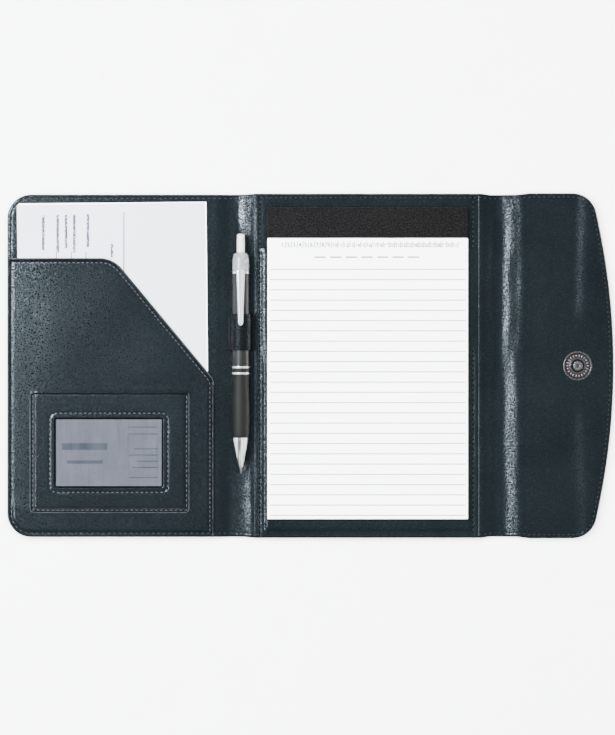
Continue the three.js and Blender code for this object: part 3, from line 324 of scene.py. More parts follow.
def sample(points, ts):
    """Points at the given shares of a polyline's length."""
    along = np.concatenate([[0], np.cumsum(np.linalg.norm(np.diff(points, axis=0), axis=1))])
    return np.column_stack([np.interp(np.asarray(ts) * along[-1], along, axis) for axis in points.T])


def chain(*lines):
    """Lines that meet end to end, each shared point kept once."""
    return np.concatenate([lines[0], *(line[1:] for line in lines[1:])])


def coons(sides, us, vs):
    """A plan grid stretched between four sides."""
    bottom, right, top, left = sides
    b, t = sample(bottom, us)[:, None], sample(top, us)[:, None]
    l, r = sample(left, vs)[None], sample(right, vs)[None]
    u, v = us[:, None, None], vs[None, :, None]
    corners = (1 - u) * (1 - v) * b[0] + u * (1 - v) * b[-1] + (1 - u) * v * t[0] + u * v * t[-1]
    return (1 - v) * b + v * t + (1 - u) * l + u * r - corners


def ringed_grid(outline, us, vs, insets, closed):
    """A plan grid whose outermost rows follow the outline at each inset, on the sides in closed.
    Also gives each point's distance from the outline, which stops at the last inset."""
    rings = len(insets) - 1

    def axis(count, low, high):
        steps = list(range(rings))
        depth = steps * low + [rings] * count + steps[::-1] * high
        return np.array(depth), np.clip(np.arange(len(depth)) - rings * low, 0, count - 1)

    across, u_places = axis(len(us), "left" in closed, "right" in closed)
    along, v_places = axis(len(vs), "bottom" in closed, "top" in closed)
    depth = np.minimum(across[:, None], along[None])
    points = np.zeros(depth.shape + (2,))
    for k, distance in enumerate(insets):
        patch = coons(outline(distance), us, vs)[u_places][:, v_places]
        points[depth == k] = patch[depth == k]
    return points, np.array(insets, float)[depth]


def crowded(count, crowd):
    """Shares from 0 to 1 that lie closer together near both ends."""
    t = np.linspace(0, 1, count + 1)
    return t - crowd * np.sin(2 * np.pi * t) / (2 * np.pi)


def rounded(distance, radius, edge, face):
    """A height that leaves the edge height in a quarter round and reaches the face height."""
    t = np.clip(distance / radius, 0, 1)
    return edge + (face - edge) * np.sqrt(1 - (1 - t) ** 2)


def groove(distance, at, depth=0.12, width=0.5):
    return -depth * bell(distance, at, width)


def pad_grooves(x):
    return sum(groove(np.abs(x - line), 0, 0.3, 0.9) for line in PAD_COLUMNS)


def sewn_distance(x, y, low, high):
    """Distance from the nearest of a patch's left, right and bottom edges."""
    return np.minimum(np.minimum(x - low[0], high[0] - x), y - low[1])


# Surfaces of the folio: one height for each place in the plan, so neighbouring pieces meet

def inner_height(x, y):
    """The inner face: flat over the boards, sunk and wrinkled in the spine and the gusset."""
    ends = np.maximum(smooth((y - 72) / 30), smooth((-y - 38) / 45))
    dip = -0.6 * window(x, COVER_CREASE - 1, SPINE_CREASE + 1.2, 7, 8 + 9 * ends) * (1 + 2.9 * ends)
    wrinkles = window(x, COVER_CREASE, SPINE_CREASE, 3, 3) * (0.08 + 0.5 * ends)
    wrinkles = wrinkles * (0.34 * ripple(x, y, 5, 24, 3.1) + 0.2 * ripple(x, y, 3, 7, 8.4))
    apart = 0.4 * smooth((y + 12) / 40)
    across = x - GUSSET_CREASE - 0.8 * ripple(x * 0 + 1, y, 30, 60, 5.5)
    twin = 1.6 * smooth((across - 13.4) / 6.8) + 1.5 * smooth((across - 23.6) / 6.4)
    broad = 3.1 * smooth((across - 14.5) / 12.6)
    soft = -3 * smooth((x - GUSSET_CREASE - 0.5) / 12.5) + apart * twin + (1 - apart) * broad
    soft = (soft + 0.12 * ripple(x, y, 5, 20, 6.7)) * window(x, GUSSET_CREASE - 0.8, FLAP_CREASE + 1.5, 3, 3)
    creases = sum(-depth * bell(x, at, width) for at, depth, width in (
        (SPINE_CREASE - 1.9, 0.35, 0.7), (GUSSET_CREASE - 0.6, 0.4, 0.6),
        (COVER_CREASE + 0.6, 0.3, 0.8), (FLAP_CREASE - 0.4, 0.2, 0.9)))
    swell = smooth((x - FLAP_TIP + 29 - 0.03 * np.abs(y)) / 10) * smooth((FLAP_TIP - x - 4) / 12)
    puff = 0.35 * window(x, FLAP_CREASE, FLAP_TIP, 14, 14) + 1.5 * swell * smooth((np.abs(y) - 10) / 30)
    level = 1 - 0.75 * window(x, SPINE_CREASE + 2, GUSSET_CREASE - 2, 6, 6)
    return INNER + dip + wrinkles + soft + creases + puff + 0.14 * level * ripple(x, y, 55, 55, 1.3)


def outer_height(x, y):
    """The outer face: flat under the boards, following the inner face in the two soft folds."""
    folds = window(x, COVER_CREASE - 1, SPINE_CREASE + 1, 3, 3)
    folds = folds + window(x, GUSSET_CREASE - 1, FLAP_CREASE + 1, 3, 3)
    sunk_face = np.maximum(inner_height(x, y) - (INNER - FOLD_UNDER), 0.6)
    return UNDER * (1 - folds) + sunk_face * folds + 0.05 * ripple(x, y, 40, 40, 9.2)


# Document pocket: its outline and height

POCKET_SHOULDER_Y, POCKET_TOP_WIDTH = -9.2, 68.4
POCKET_CORNERS = [
    (POCKET_LOW[0], POCKET_LOW[1], COVER_CORNER - 0.2), (POCKET_HIGH[0], POCKET_LOW[1], 0.4),
    (POCKET_HIGH[0], POCKET_SHOULDER_Y, 9), (POCKET_LOW[0] + POCKET_TOP_WIDTH, POCKET_HIGH[1], 18),
    (POCKET_LOW[0], POCKET_HIGH[1], 0.4)]


def pocket_sides(d):
    return patch_sides(POCKET_CORNERS, [d] * 5, (0, 1, 2, 4))


def pocket_mouth(d):
    """The mouth and the right side as one line."""
    _, right, mouth, _ = pocket_sides(d)
    return chain(mouth, right[::-1])


def pocket_sewn_distance(x, y):
    """Distance from the nearest sewn edge: left, bottom with its round corner, or right."""
    radius = COVER_CORNER - 0.2
    cx, cy = POCKET_LOW[0] + radius, POCKET_LOW[1] + radius
    corner = radius - np.hypot(np.minimum(x - cx, 0), np.minimum(y - cy, 0))
    near = np.where((x < cx) & (y < cy), corner, np.minimum(x - POCKET_LOW[0], y - POCKET_LOW[1]))
    return np.minimum(near, np.where(y < POCKET_SHOULDER_Y, POCKET_HIGH[0] - x, 99))


def mouth_distance(x, y):
    """How far a place lies below the slanted part of the pocket's mouth."""
    (x1, y1), (x2, y2) = POCKET_CORNERS[2][:2], POCKET_CORNERS[3][:2]
    return ((x2 - x1) * (y - y1) - (y2 - y1) * (x - x1)) / math.hypot(x2 - x1, y2 - y1)


def pocket_height(x, y):
    """The pocket's face: sunk along its seams, curled at the left, swollen by the papers."""
    base, across = INNER + LEATHER, x - POCKET_LOW[0]
    rise = smooth((pocket_sewn_distance(x, y) - 2.7) / 1.9)
    curl = 0.85 * (1 - np.clip((across - 3.2) / 31, 0, 1)) ** 2 * smooth((y + 96) / 14)
    puff = 0.2 * ripple(x, y, 38, 38, 4.2) + 0.55 * smooth((across - 3) / 30) * bell(y, 25, 36)
    puff = puff * smooth((y - FRAME_HIGH[1] - 2) / 10) * (0.3 + 0.7 * smooth(mouth_distance(x, y) / 14))
    return base + 0.06 + rise * (1 - curl) * (POCKET_HIGH[2] - base - 0.08) + puff


def front_height(x, y):
    """The cover's face, or the pocket's where it lies on the cover."""
    below_mouth = (mouth_distance(x, y) > 0) | (x < POCKET_CORNERS[3][0])
    pocket = (x < POCKET_HIGH[0]) & (y < POCKET_HIGH[1]) & below_mouth
    return np.where(pocket, pocket_height(x, y), inner_height(x, y))


def frame_height(x, y):
    low = POCKET_HIGH[2] + LEATHER + 0.03
    return low + smooth((sewn_distance(x, y, FRAME_LOW, FRAME_HIGH) - 1.7) / 2.2) * (FRAME_HIGH[2] - low)


def pad_pocket_height(x, y):
    return np.where(y < PAD_POCKET_HIGH[1], INNER + LEATHER, inner_height(x, y))


# Materials

class Nodes:
    """The nodes of one material, placed by the object's own coordinates, which are in metres."""

    def __init__(self, name):
        self.material = bpy.data.materials.new(name)
        self.material.use_nodes = True
        self.tree = self.material.node_tree
        self.coords = self.node("TexCoord", "Object")

    def put(self, socket, value):
        if isinstance(value, bpy.types.NodeSocket):
            self.tree.links.new(value, socket)
        else:
            socket.default_value = value

    def node(self, kind, output, inputs=(), **settings):
        """A new node's output; inputs are values or links by socket."""
        node = self.tree.nodes.new("ShaderNode" + kind)
        for key, value in settings.items():
            setattr(node, key, value)
        for key, value in dict(inputs).items():
            self.put(node.inputs[key], value)
        return node.outputs[output]

    def noise(self, scale, detail=3.0, roughness=0.55, stretch=None, distortion=0.0):
        vector = self.coords
        if stretch:
            vector = self.node("Mapping", "Vector", {"Scale": stretch, "Vector": vector})
        return self.node("TexNoise", "Fac", {"Scale": scale, "Detail": detail, "Roughness": roughness,
                                             "Distortion": distortion, "Vector": vector})

    def ramp(self, value, *stops):
        """A colour by (position, colour) stops."""
        output = self.node("ValToRGB", "Color", {"Fac": value})
        elements = output.node.color_ramp.elements
        elements.remove(elements[-1])
        elements[0].position, elements[0].color = stops[0]
        for position, colour in stops[1:]:
            elements.new(position).color = colour
        return output

    def math(self, operation, a, b=0.0):
        return self.node("Math", 0, {0: a, 1: b}, operation=operation)

    def every(self, first, *others):
        """1 where all the masks are."""
        for other in others:
            first = self.math("MULTIPLY", first, other)
        return first

    def either(self, first, *others):
        for other in others:
            first = self.math("MAXIMUM", first, other)
        return first

    def above(self, value, low):
        return self.math("GREATER_THAN", value, low * MM)

    def below(self, value, high):
        return self.math("LESS_THAN", value, high * MM)

    def near(self, value, centre, half):
        return self.below(self.math("ABSOLUTE", self.math("SUBTRACT", value, centre * MM)), half)

    def axes(self):
        x = self.node("SeparateXYZ", "X", {0: self.coords})
        return x, x.node.outputs["Y"]

    def scaled(self, value, low, high):
        return self.node("MapRange", "Result", {"To Min": low, "To Max": high, "Value": value})

    def mixed(self, factor, a, b, blend="MULTIPLY"):
        return self.node("Mix", "Result", {0: factor, 6: a, 7: b}, data_type="RGBA", blend_type=blend)

    def bump(self, height, strength, distance, **under):
        return self.node("Bump", "Normal", {"Strength": strength, "Distance": distance, "Height": height, **under})

    def finish(self, **inputs):
        """Sets or links the shader's inputs, and gives the material."""
        for key, value in inputs.items():
            self.put(self.tree.nodes["Principled BSDF"].inputs[key.replace("_", " ")], value)
        return self.material

    def paper(self, colour, relief, rough, stretch=None):
        """A matt sheet with fine fibres."""
        fibres = self.noise(900, 4, 0.6, stretch)
        return self.finish(Base_Color=colour, Normal=self.bump(fibres, relief, FINE),
                           Roughness=self.scaled(fibres, *rough))


FINE = 0.0001


def grey(value, blue=0.0):
    return (value, value, value + blue, 1)


def leather_material(name, dark, light, roughness, grain=1.0, gloss=(0.09, 0.48)):
    """Bonded leather: a pebble grain about a millimetre across whose tops shine, soft colour drift."""
    n = Nodes(name)
    low, high = gloss
    pebble = n.node("TexVoronoi", "Distance", {"Scale": 1200, "Randomness": 1.0, "Smoothness": 0.4,
                                               "Vector": n.coords}, feature="SMOOTH_F1")
    crinkle = n.noise(1150, 3, 0.6, distortion=0.4)
    colour = n.mixed(0.7, n.ramp(n.noise(22), (0.3, (*dark, 1)), (0.72, (*light, 1))),
                     n.ramp(n.noise(160, 5, 0.65), (0.35, grey(0.96)), (0.65, grey(1.04))))
    soft = n.bump(n.noise(70, 3, 0.5), 0.04, 0.0008)
    return n.finish(
        Base_Color=n.mixed(0.8, colour, n.ramp(pebble, (0.1, grey(1.06)), (0.5, grey(0.92)))),
        Specular_IOR_Level=n.ramp(crinkle, (0.41, grey(low)), (0.5, grey((low + high) / 2)),
                                  (0.6, grey(high * 1.7))),
        Roughness=n.scaled(pebble, roughness - 0.03, roughness + 0.05),
        Normal=n.bump(pebble, 0.2 * grain, 0.0003, Normal=n.bump(crinkle, 0.12 * grain, 0.0002, Normal=soft)))


def thread_material(name, dark, light):
    n = Nodes(name)
    twist = n.noise(1400, 2, 0.5)
    return n.finish(Base_Color=n.ramp(twist, (0.3, grey(dark, 0.2 * dark)), (0.7, grey(light, 0.2 * light))),
                    Normal=n.bump(twist, 0.4, 0.0002), Roughness=0.5, Specular_IOR_Level=0.3)


def paper_material(name, tone, fibre=0.5):
    n = Nodes(name)
    colour = n.ramp(n.noise(30), (0.3, (*(c * 0.97 for c in tone), 1)), (0.7, (*tone, 1)))
    return n.paper(colour, 0.12 * fibre, (0.75, 0.9), (1, 0.4, 1))


def plain_material(name, low, high, roughness, scale, detail, rough, bump, spread=0.2, stretch=None, **others):
    """One noise that drives the colour, the roughness and a fine bump."""
    n = Nodes(name)
    grain = n.noise(scale, detail, 0.6, stretch)
    return n.finish(Base_Color=n.ramp(grain, (0.5 - spread, (*low, 1)), (0.5 + spread, (*high, 1))),
                    Roughness=n.scaled(grain, *(roughness * share for share in rough)),
                    Normal=n.bump(grain, bump, FINE), **others)


def metal_material(name, low, high, roughness, metallic=1.0, scale=700, **how):
    return plain_material(name, low, high, roughness, scale, 4, (0.75, 1.35), 0.06, Metallic=metallic, **how)


def plastic_material(name, low, high, roughness, coat=0.0, scale=1200, bump=0.08, **how):
    return plain_material(name, low, high, roughness, scale, 3, (0.8, 1.2), bump,
                          Coat_Weight=coat, Coat_Roughness=0.12, **how)


RULE_TOP, RULE_PITCH, RULE_COUNT, RULE_WIDTH = 62.1, 6.6, 25, 0.75


def ruled_material():
    """Writing paper with pale ruled lines."""
    n = Nodes("ruled_paper")
    x, y = n.axes()
    rows = n.math("DIVIDE", n.math("SUBTRACT", RULE_TOP * MM, y), RULE_PITCH * MM)
    nearest = n.math("ROUND", rows)
    off = n.math("ABSOLUTE", n.math("SUBTRACT", rows, nearest))
    drawn = n.every(n.math("LESS_THAN", off, RULE_WIDTH / RULE_PITCH / 2),
                    n.math("GREATER_THAN", nearest, -0.5), n.math("LESS_THAN", nearest, RULE_COUNT - 0.5),
                    n.above(x, PAGE_LOW[0] + 1.6), n.below(x, PAGE_HIGH[0] - 1.6),
                    n.scaled(n.noise(500, 2), 0.7, 1.0))
    base = n.ramp(n.noise(25), (0.3, grey(0.86)), (0.7, grey(0.9)))
    return n.paper(n.mixed(drawn, base, (0.13, 0.12, 0.125, 1), "MIX"), 0.05, (0.8, 0.92))


# Marks on the form, all upright: place across, half width, low and high end
FORM_RULE = (-186.5 / 1.55, 0.36, -999, 99)
SHORT_RULES = [(x, 0.3, -999, 73.5) for x in (-163.9, -154.3, -144.8)]
LABEL_BARS = [(-172.3, 0.85, 74.5, 97), (-163, 0.85, 73, 97.5), (-157.6, 0.85, 75.5, 97.3),
              (-152.3, 0.85, 73, 97.5), (-143.5, 0.85, 76.5, 98), (-128, 0.85, 70, 78.5)]


def form_material():
    """Plain office paper with a thin ruled line, short blank rules and broken bars, as on an empty form."""
    n = Nodes("form_paper")
    x, y = n.axes()

    def marks(bars):
        return [n.every(n.near(x, at, half), n.above(y, start), n.below(y, end)) for at, half, start, end in bars]

    labels = n.every(n.either(*marks(LABEL_BARS)), n.math("GREATER_THAN", n.noise(1000, 2), 0.41))
    printed = n.either(*marks([FORM_RULE] + SHORT_RULES), labels)
    base = n.ramp(n.noise(18), (0.3, (0.42, 0.425, 0.46, 1)), (0.7, (0.455, 0.46, 0.49, 1)))
    return n.paper(n.mixed(printed, base, (0.03, 0.032, 0.055, 1), "MIX"), 0.06, (0.7, 0.88))


# Bars on the card: left and right end, height of the middle and half thickness
CARD_BARS = [(-118, -99, -39.5, 0.4), (-160, -131, -52, 2.2), (-157, -134, -62, 1.1)] + [
    (left, -98, middle, 0.35) for left, middle in (
        (-117, -44), (-114, -53.5), (-117, -57.5), (-112, -61.5), (-115, -65.5), (-117, -72))]


def card_material():
    """Grey lavender card seen dark behind vinyl, with a few blank bars and painted streaks of the vinyl's
    reflections.
    """
    n = Nodes("card_stock")
    x, y = n.axes()
    bars = n.either(*(n.every(n.above(x, left), n.below(x, right), n.near(y, middle, half))
                      for left, right, middle, half in CARD_BARS))
    cloud = n.noise(40)
    base = n.ramp(cloud, (0.3, (0.02, 0.0205, 0.029, 1)), (0.7, (0.025, 0.0255, 0.034, 1)))
    # Painted reflections of the vinyl: light and dark streaks along the card.
    painted_film_reflections = n.ramp(n.noise(900, 2, 0.5, (1, 0.03, 1)), (0.3, grey(0.78)), (0.7, grey(1.16)))
    return n.finish(Base_Color=n.mixed(0.8, n.mixed(bars, base, (0.001, 0.004, 0.008, 1), "MIX"), painted_film_reflections),
                    Normal=n.bump(n.noise(1000), 0.05, FINE), Roughness=n.scaled(cloud, 0.55, 0.7))


# The stud's painted light and shade at each share of 10 mm from its middle: bright on the post top, lip and rim,
# dark round the post, between the beads and in the groove
STUD_LIGHT_AND_SHADE = [(0, 0.1), (0.1, 0.12), (0.13, 0.2), (0.3, 0.24), (0.33, 0.016), (0.42, 0.02), (0.45, 0.16),
              (0.51, 0.13), (0.55, 0.07), (0.77, 0.06), (0.8, 0.02), (0.84, 0.12), (0.93, 0.2)]


def stud_material():
    """Pressed nickel, its tone following the distance from the post: painted shade in its grooves, round the post
    and between the beads, painted highlights on the post top and rims.
    """
    n = Nodes("stud_metal")
    x, y = n.axes()
    x = n.math("SUBTRACT", x, STUD_X * MM)
    square = n.math("ADD", n.math("MULTIPLY", x, x), n.math("MULTIPLY", y, y))
    radius = n.math("DIVIDE", n.math("SQRT", square), 10 * MM)
    # Painted light and shade, in rings round the post.
    rings = n.ramp(radius, *((at, (tone * 0.56, tone * 0.53, tone * 0.55, 1)) for at, tone in STUD_LIGHT_AND_SHADE))
    spots = n.ramp(n.noise(700, 4, 0.6), (0.35, grey(0.6)), (0.65, grey(1.15)))
    return n.finish(Base_Color=n.mixed(0.8, rings, spots), Roughness=n.scaled(n.noise(900), 0.18, 0.34),
                    Normal=n.bump(n.noise(1100), 0.08, FINE), Metallic=0.8)


def film_material():
    """Clear vinyl: a thin bright skin with faint scuffs."""
    n = Nodes("clear_vinyl")
    scuff = n.noise(240, 5, 0.7, (1, 0.3, 1))
    return n.finish(Base_Color=n.ramp(scuff, (0.35, (0.05, 0.053, 0.064, 1)), (0.7, (0.1, 0.105, 0.12, 1))),
                    Roughness=n.scaled(scuff, 0.14, 0.3), Normal=n.bump(n.noise(45), 0.25, 0.0006),
                    Alpha=n.scaled(scuff, 0.05, 0.14), Specular_IOR_Level=0.9)


HIDE_TONES = ((0.0018, 0.0029, 0.0034), (0.0027, 0.0041, 0.0047))
SILVER = dict(roughness=0.2, metallic=0.7)
hide = leather_material("folio_leather", *HIDE_TONES, 0.225)
outer_hide = leather_material("outer_leather", *HIDE_TONES, 0.4, 0.4, (0.05, 0.08))
strip_leather = leather_material("strip_leather", (0.0019, 0.0017, 0.0017), (0.0028, 0.0025, 0.0024), 0.55, 1.5,
                                 (0.05, 0.15))
# A darker copy of the folio leather for the pen loop: painted shade.
shaded_loop_leather = leather_material("shaded_loop_leather", (0.0012, 0.0018, 0.0021), (0.0018, 0.0027, 0.0031), 0.42, 1.0,
                                (0.04, 0.13))
# Paler leather for painted highlight lines along the turned edges.
edge_highlight_hide = leather_material("painted_highlight_leather", (0.008, 0.011, 0.013), (0.026, 0.033, 0.038), 0.35)
# Paler leather for the lining's rolled edges: a painted highlight line along the folds.
fold_highlight_hide = leather_material("painted_fold_highlight_leather", (0.004, 0.006, 0.007), (0.014, 0.018, 0.021), 0.35)
# Near-black leather as painted shade, for the needle holes and the shadow lines in the gaps.
shade_black = leather_material("painted_shade_leather", (0.0005,) * 3, (0.001,) * 3, 0.8, 1.0, (0.0, 0.1))
# Lit and shaded copies of one black thread: the palest is a painted highlight for the stitches where the light
# falls, the two darker ones painted shade for the rest.
thread = thread_material("thread", 0.013, 0.038)
shaded_edge_thread = thread_material("shaded_edge_thread", 0.005, 0.015)
shaded_thread = thread_material("shaded_thread", 0.003, 0.008)
ferrite = metal_material("magnet_ferrite", (0.05, 0.05, 0.055), (0.1, 0.1, 0.105), 0.45)
steel = metal_material("nickel", (0.24, 0.22, 0.22), (0.36, 0.33, 0.33), 0.24, 0.8)
stud_metal = stud_material()
# Painted reflections in the pen's silver: light and dark streaks along the pen, sharper and stronger on the cone.
silver = metal_material("pen_silver_painted_reflections", (0.16, 0.16, 0.165), (0.85, 0.85, 0.86),
                        stretch=(1, 0.03, 1), **SILVER)
cone_reflection_silver = metal_material("pen_cone_painted_reflections", (0.1, 0.1, 0.105), (0.9, 0.9, 0.91), stretch=(1, 0.004, 0.3),
                               scale=330, spread=0.07, **SILVER)
brass = metal_material("refill_metal", (0.55, 0.53, 0.48), (0.66, 0.64, 0.58), 0.3)
barrel_plastic = plastic_material("pen_barrel_plastic", (0.004, 0.0034, 0.0028), (0.0065, 0.0056, 0.0047), 0.45)
pen_rubber = plastic_material("pen_rubber", (0.003, 0.0029, 0.0025), (0.0048, 0.0046, 0.004), 0.6, bump=0.2,
                          Specular_IOR_Level=0.25)
button_plastic = plastic_material("pen_button_plastic", (0.3, 0.31, 0.31), (0.42, 0.43, 0.43), 0.2, 0.3)
collar_plastic = plastic_material("pen_collar_plastic", (0.07, 0.075, 0.08), (0.18, 0.19, 0.195), 0.22, 0.3, 420)
ink = plastic_material("grey_ink", (0.006, 0.004, 0.005), (0.012, 0.009, 0.011), 0.8)
pale_floor = plastic_material("pale_floor", (0.86,) * 3, (0.88,) * 3, 0.9, scale=30, bump=0.0)
leaf_paper = paper_material("leaf_paper", (0.88, 0.88, 0.87))
bright_paper = paper_material("bright_sheet_paper", (0.93, 0.93, 0.94))
board = paper_material("grey_board", (0.3, 0.27, 0.22), 2.0)
ruled_paper, form_paper = ruled_material(), form_material()


# The continuous leather

KINK, GUSSET_DRAW = 2, 0.7
MID_GUSSET_HALF = CENTRE_HALF - GUSSET_DRAW


def cover_outline(d):
    return patch_sides([(COVER_EDGE, -COVER_HALF, COVER_CORNER), (MID_SPINE, -COVER_HALF, 0),
                        (MID_SPINE, COVER_HALF, 0), (COVER_EDGE, COVER_HALF, COVER_CORNER)], [d, 0, d, d])


def stepped_outline(left, right, *knots):
    """A stretch between two seams whose half height passes through knots (x, half height)."""
    kinks = [(left, knots[0][1], 0), *((x, half, KINK) for x, half in knots), (right, knots[-1][1], 0)]
    corners = [(x, -half, radius) for x, half, radius in kinks] + kinks[::-1]
    count = len(kinks)
    return lambda d: patch_sides(corners, ([d] * (count - 1) + [0]) * 2, (0, count - 1, count, 2 * count - 1))


spine_outline = stepped_outline(MID_SPINE, MID_CENTRE, (SPINE_CREASE - 8, COVER_HALF),
                                (SPINE_CREASE - 1, CENTRE_HALF), (SPINE_CREASE + 12, CENTRE_HALF))
gusset_outline = stepped_outline(MID_CENTRE, MID_GUSSET, (GUSSET_CREASE - 12, CENTRE_HALF),
                                 (GUSSET_CREASE + 2, CENTRE_HALF), (GUSSET_CREASE + 7, MID_GUSSET_HALF))


def flap_outline(d):
    """The flap with its bowed free edge, and the half of the gusset that leads to it."""
    half, bow, corner = FLAP_HALF - d, FLAP_BOW - d, FLAP_CORNER - d
    bow_x, corner_y = FLAP_TIP - FLAP_BOW, half - corner
    corner_x = bow_x + math.sqrt((bow - corner) ** 2 - corner_y ** 2)
    turn = math.atan2(corner_y, corner_x - bow_x)
    middle = (turn + math.pi / 2) / 2
    edge = np.concatenate([circle(bow, np.linspace(0, turn, 40), bow_x),
                           circle(corner, np.linspace(turn, middle, 8), corner_x, corner_y)])
    crease_half = MID_GUSSET_HALF - d
    top = np.concatenate([
        [[MID_GUSSET, crease_half], [FLAP_CREASE - 6, crease_half], [FLAP_CREASE + 2, half]],
        circle(corner, np.linspace(middle, math.pi / 2, 8), corner_x, corner_y)[::-1]])
    mirror = np.array([1, -1])
    left = np.array([[MID_GUSSET, -crease_half], [MID_GUSSET, crease_half]])
    return top * mirror, chain((edge * mirror)[::-1], edge), top, left


def folio_shell(name, outline, count, closed, fold, *nodes):
    """One stretch of the leather, from seam to seam, across one crease."""
    us = crowded(count, 0.2) if len(closed) == 3 else np.linspace(0, 1, count + 1)
    points, distance = ringed_grid(outline, us, crowded(110, 0.7), SHELL_INSETS, closed)
    x, y = points[..., 0], points[..., 1]
    inner, outer, seam = inner_height(x, y), outer_height(x, y), groove(distance, STITCH_INSET)
    edge = outer + (inner - outer) * 0.45
    piece = shell(name, points, rounded(distance, EDGE_ROUND, edge, inner) + seam + pad_grooves(x),
                  rounded(distance, EDGE_ROUND, edge, outer) - seam,
                  [side for side in ("left", "right") if side not in closed], hide)
    piece.data.materials.append(outer_hide)
    for face in piece.data.polygons:
        if face.normal.z < FACING_UP:
            face.material_index = 1
    dress(piece, "leather", fold, *nodes)


def make_leather():
    folio_shell("front_leather", cover_outline, 80, ("left", "bottom", "top"), COVER_FOLD, "front_outer_skin",
                "front_lining", "spine_outer_skin", "spine_lining", "spine_interlining")
    folio_shell("spine_and_centre_leather", spine_outline, 60, ("bottom", "top"), SPINE_FOLD,
                "centre_outer_skin", "centre_lining", "spine_outer_skin", "spine_lining")
    folio_shell("centre_and_gusset_leather", gusset_outline, 70, ("bottom", "top"), GUSSET_FOLD,
                "centre_outer_skin", "centre_lining", "gusset_outer_skin", "gusset_lining",
                "gusset_interlining")
    folio_shell("flap_leather", flap_outline, 70, ("right", "bottom", "top"), FLAP_FOLD, "flap_outer_skin",
                "flap_lining", "gusset_outer_skin", "gusset_lining")


# Pockets

BINDING_INSET, WINDOW_MARGIN = 0.75, 4.9


def laid(name, plan, height, lift, section, material):
    """A sweep along a plan line, at a lift over a surface."""
    return sweep(name, columns(*plan.T, height(*plan.T) + lift), section, material)


def make_binding(name, plan, height, node):
    """The leather turned over a pocket's mouth."""
    dress(laid(name, plan, height, -0.2, pillow(0.75, 0.5), hide), "leather", "front_cover", node)


def make_document_pocket():
    points, distance = ringed_grid(pocket_sides, crowded(70, 0.6), crowded(80, 0.5), PATCH_INSETS, ALL_SIDES)
    x, y = points[..., 0], points[..., 1]
    face = pocket_height(x, y)
    back = np.maximum(face - LEATHER, INNER + 0.05 + 0.79 * smooth((x - POCKET_LOW[0] - 6) / 1.4))
    back = np.minimum(back, face - 0.12)
    edge = (face + back) / 2
    depth = 0.2 - 0.12 * smooth((POCKET_LOW[0] + 9 - x) / 4)
    top = rounded(distance, PATCH_ROUND, edge, face) + groove(distance, STITCH_INSET, depth)
    piece = shell("document_pocket_leather", points, top, rounded(distance, PATCH_ROUND, edge, back), (), hide)
    dress(piece, "leather", "front_cover", "document_pocket")
    mouth = sample(pocket_mouth(BINDING_INSET), np.linspace(0, 1, 260))
    make_binding("document_pocket_binding", mouth, pocket_height, "document_pocket_piping")


OUTER_FRAME = rectangle(FRAME_LOW, FRAME_HIGH, 3)
OPENING = rectangle(FILM_LOW, FILM_HIGH, 1.2, -WINDOW_MARGIN)


def loop_points(corners, d):
    """A rounded outline as one loop, with the same count of points on each side."""
    bottom, right, top, left = patch_sides(corners, [d] * 4)
    return np.concatenate([sample(side, crowded(26, 0.8)[:-1]) for side in (bottom, right, top[::-1], left[::-1])])


def closed_line(points):
    return np.concatenate([points, points[:1]])


def make_card_pocket():
    def face_loop(plan, d=9.0, seam=0.0, depth=0.0):
        face = frame_height(*plan.T)
        return columns(*plan.T, rounded(d, PATCH_ROUND, face - LEATHER / 2, face) + groove(d, seam, depth, 0.6))

    deepest = FRAME_INSETS[-1]
    first, last = loop_points(OUTER_FRAME, deepest), loop_points(OPENING, -deepest)
    loops = [face_loop(loop_points(OUTER_FRAME, d), d, FRAME_SEAM, 0.2) for d in FRAME_INSETS]
    loops += [face_loop(first * (1 - t) + last * t) for t in (0.25, 0.5, 0.75)]
    loops += [face_loop(loop_points(OPENING, -d), d, WINDOW_SEAM, 0.22) for d in FRAME_INSETS[::-1]]
    for corners, d in ((OPENING, -0.3), (OPENING, -4), (OUTER_FRAME, 2.2), (OUTER_FRAME, 0.3)):
        plan = loop_points(corners, d)
        loops.append(columns(*plan.T, np.maximum(frame_height(*plan.T) - LEATHER, POCKET_HIGH[2] + 0.02)))
    dress(loft("card_pocket_leather", loops, hide, closed=True), "leather", "front_cover", "card_pocket_frame")
    mouth = columns(np.linspace(FRAME_LOW[0] + 0.4, FRAME_HIGH[0] - 0.4, 60), FRAME_HIGH[1] - BINDING_INSET)
    make_binding("card_pocket_binding", mouth, frame_height, "card_pocket_piping")


def make_pad_pocket():
    """The pad's pocket: a long slope beside its upper half, a steep one below, and a hem."""
    corners = rectangle(PAD_POCKET_LOW, PAD_POCKET_HIGH, 0.6)
    points, distance = ringed_grid(lambda d: patch_sides(corners, [d] * 4), crowded(60, 0.7),
                                   crowded(80, 0.6), PATCH_INSETS, ALL_SIDES)
    x, y = points[..., 0], points[..., 1]
    upper = smooth((y + 5) / 25)
    share = (sewn_distance(x, y, PAD_POCKET_LOW, PAD_POCKET_HIGH) - 4.3 + 2.4 * upper) / (1.7 + 1.0 * upper)
    rise = 0.6 * np.clip(share, 0, 1) + 0.4 * smooth(share)
    low = INNER + LEATHER
    face = low + rise * (PAD_POCKET_HIGH[2] - low - 0.03)
    back = np.maximum(face - LEATHER, INNER + 0.05)
    hem = 0.3 * smooth((y - PAD_POCKET_HIGH[1] + 3.4) / 0.6) * (1 - rise)
    edge = (face + back) / 2
    top = rounded(distance, 0.45, edge, face + hem) + pad_grooves(x)
    piece = shell("pad_pocket_leather", points, top, rounded(distance, 0.45, edge, back), (), hide)
    dress(piece, "leather", "centre_panel", "pad_pocket")


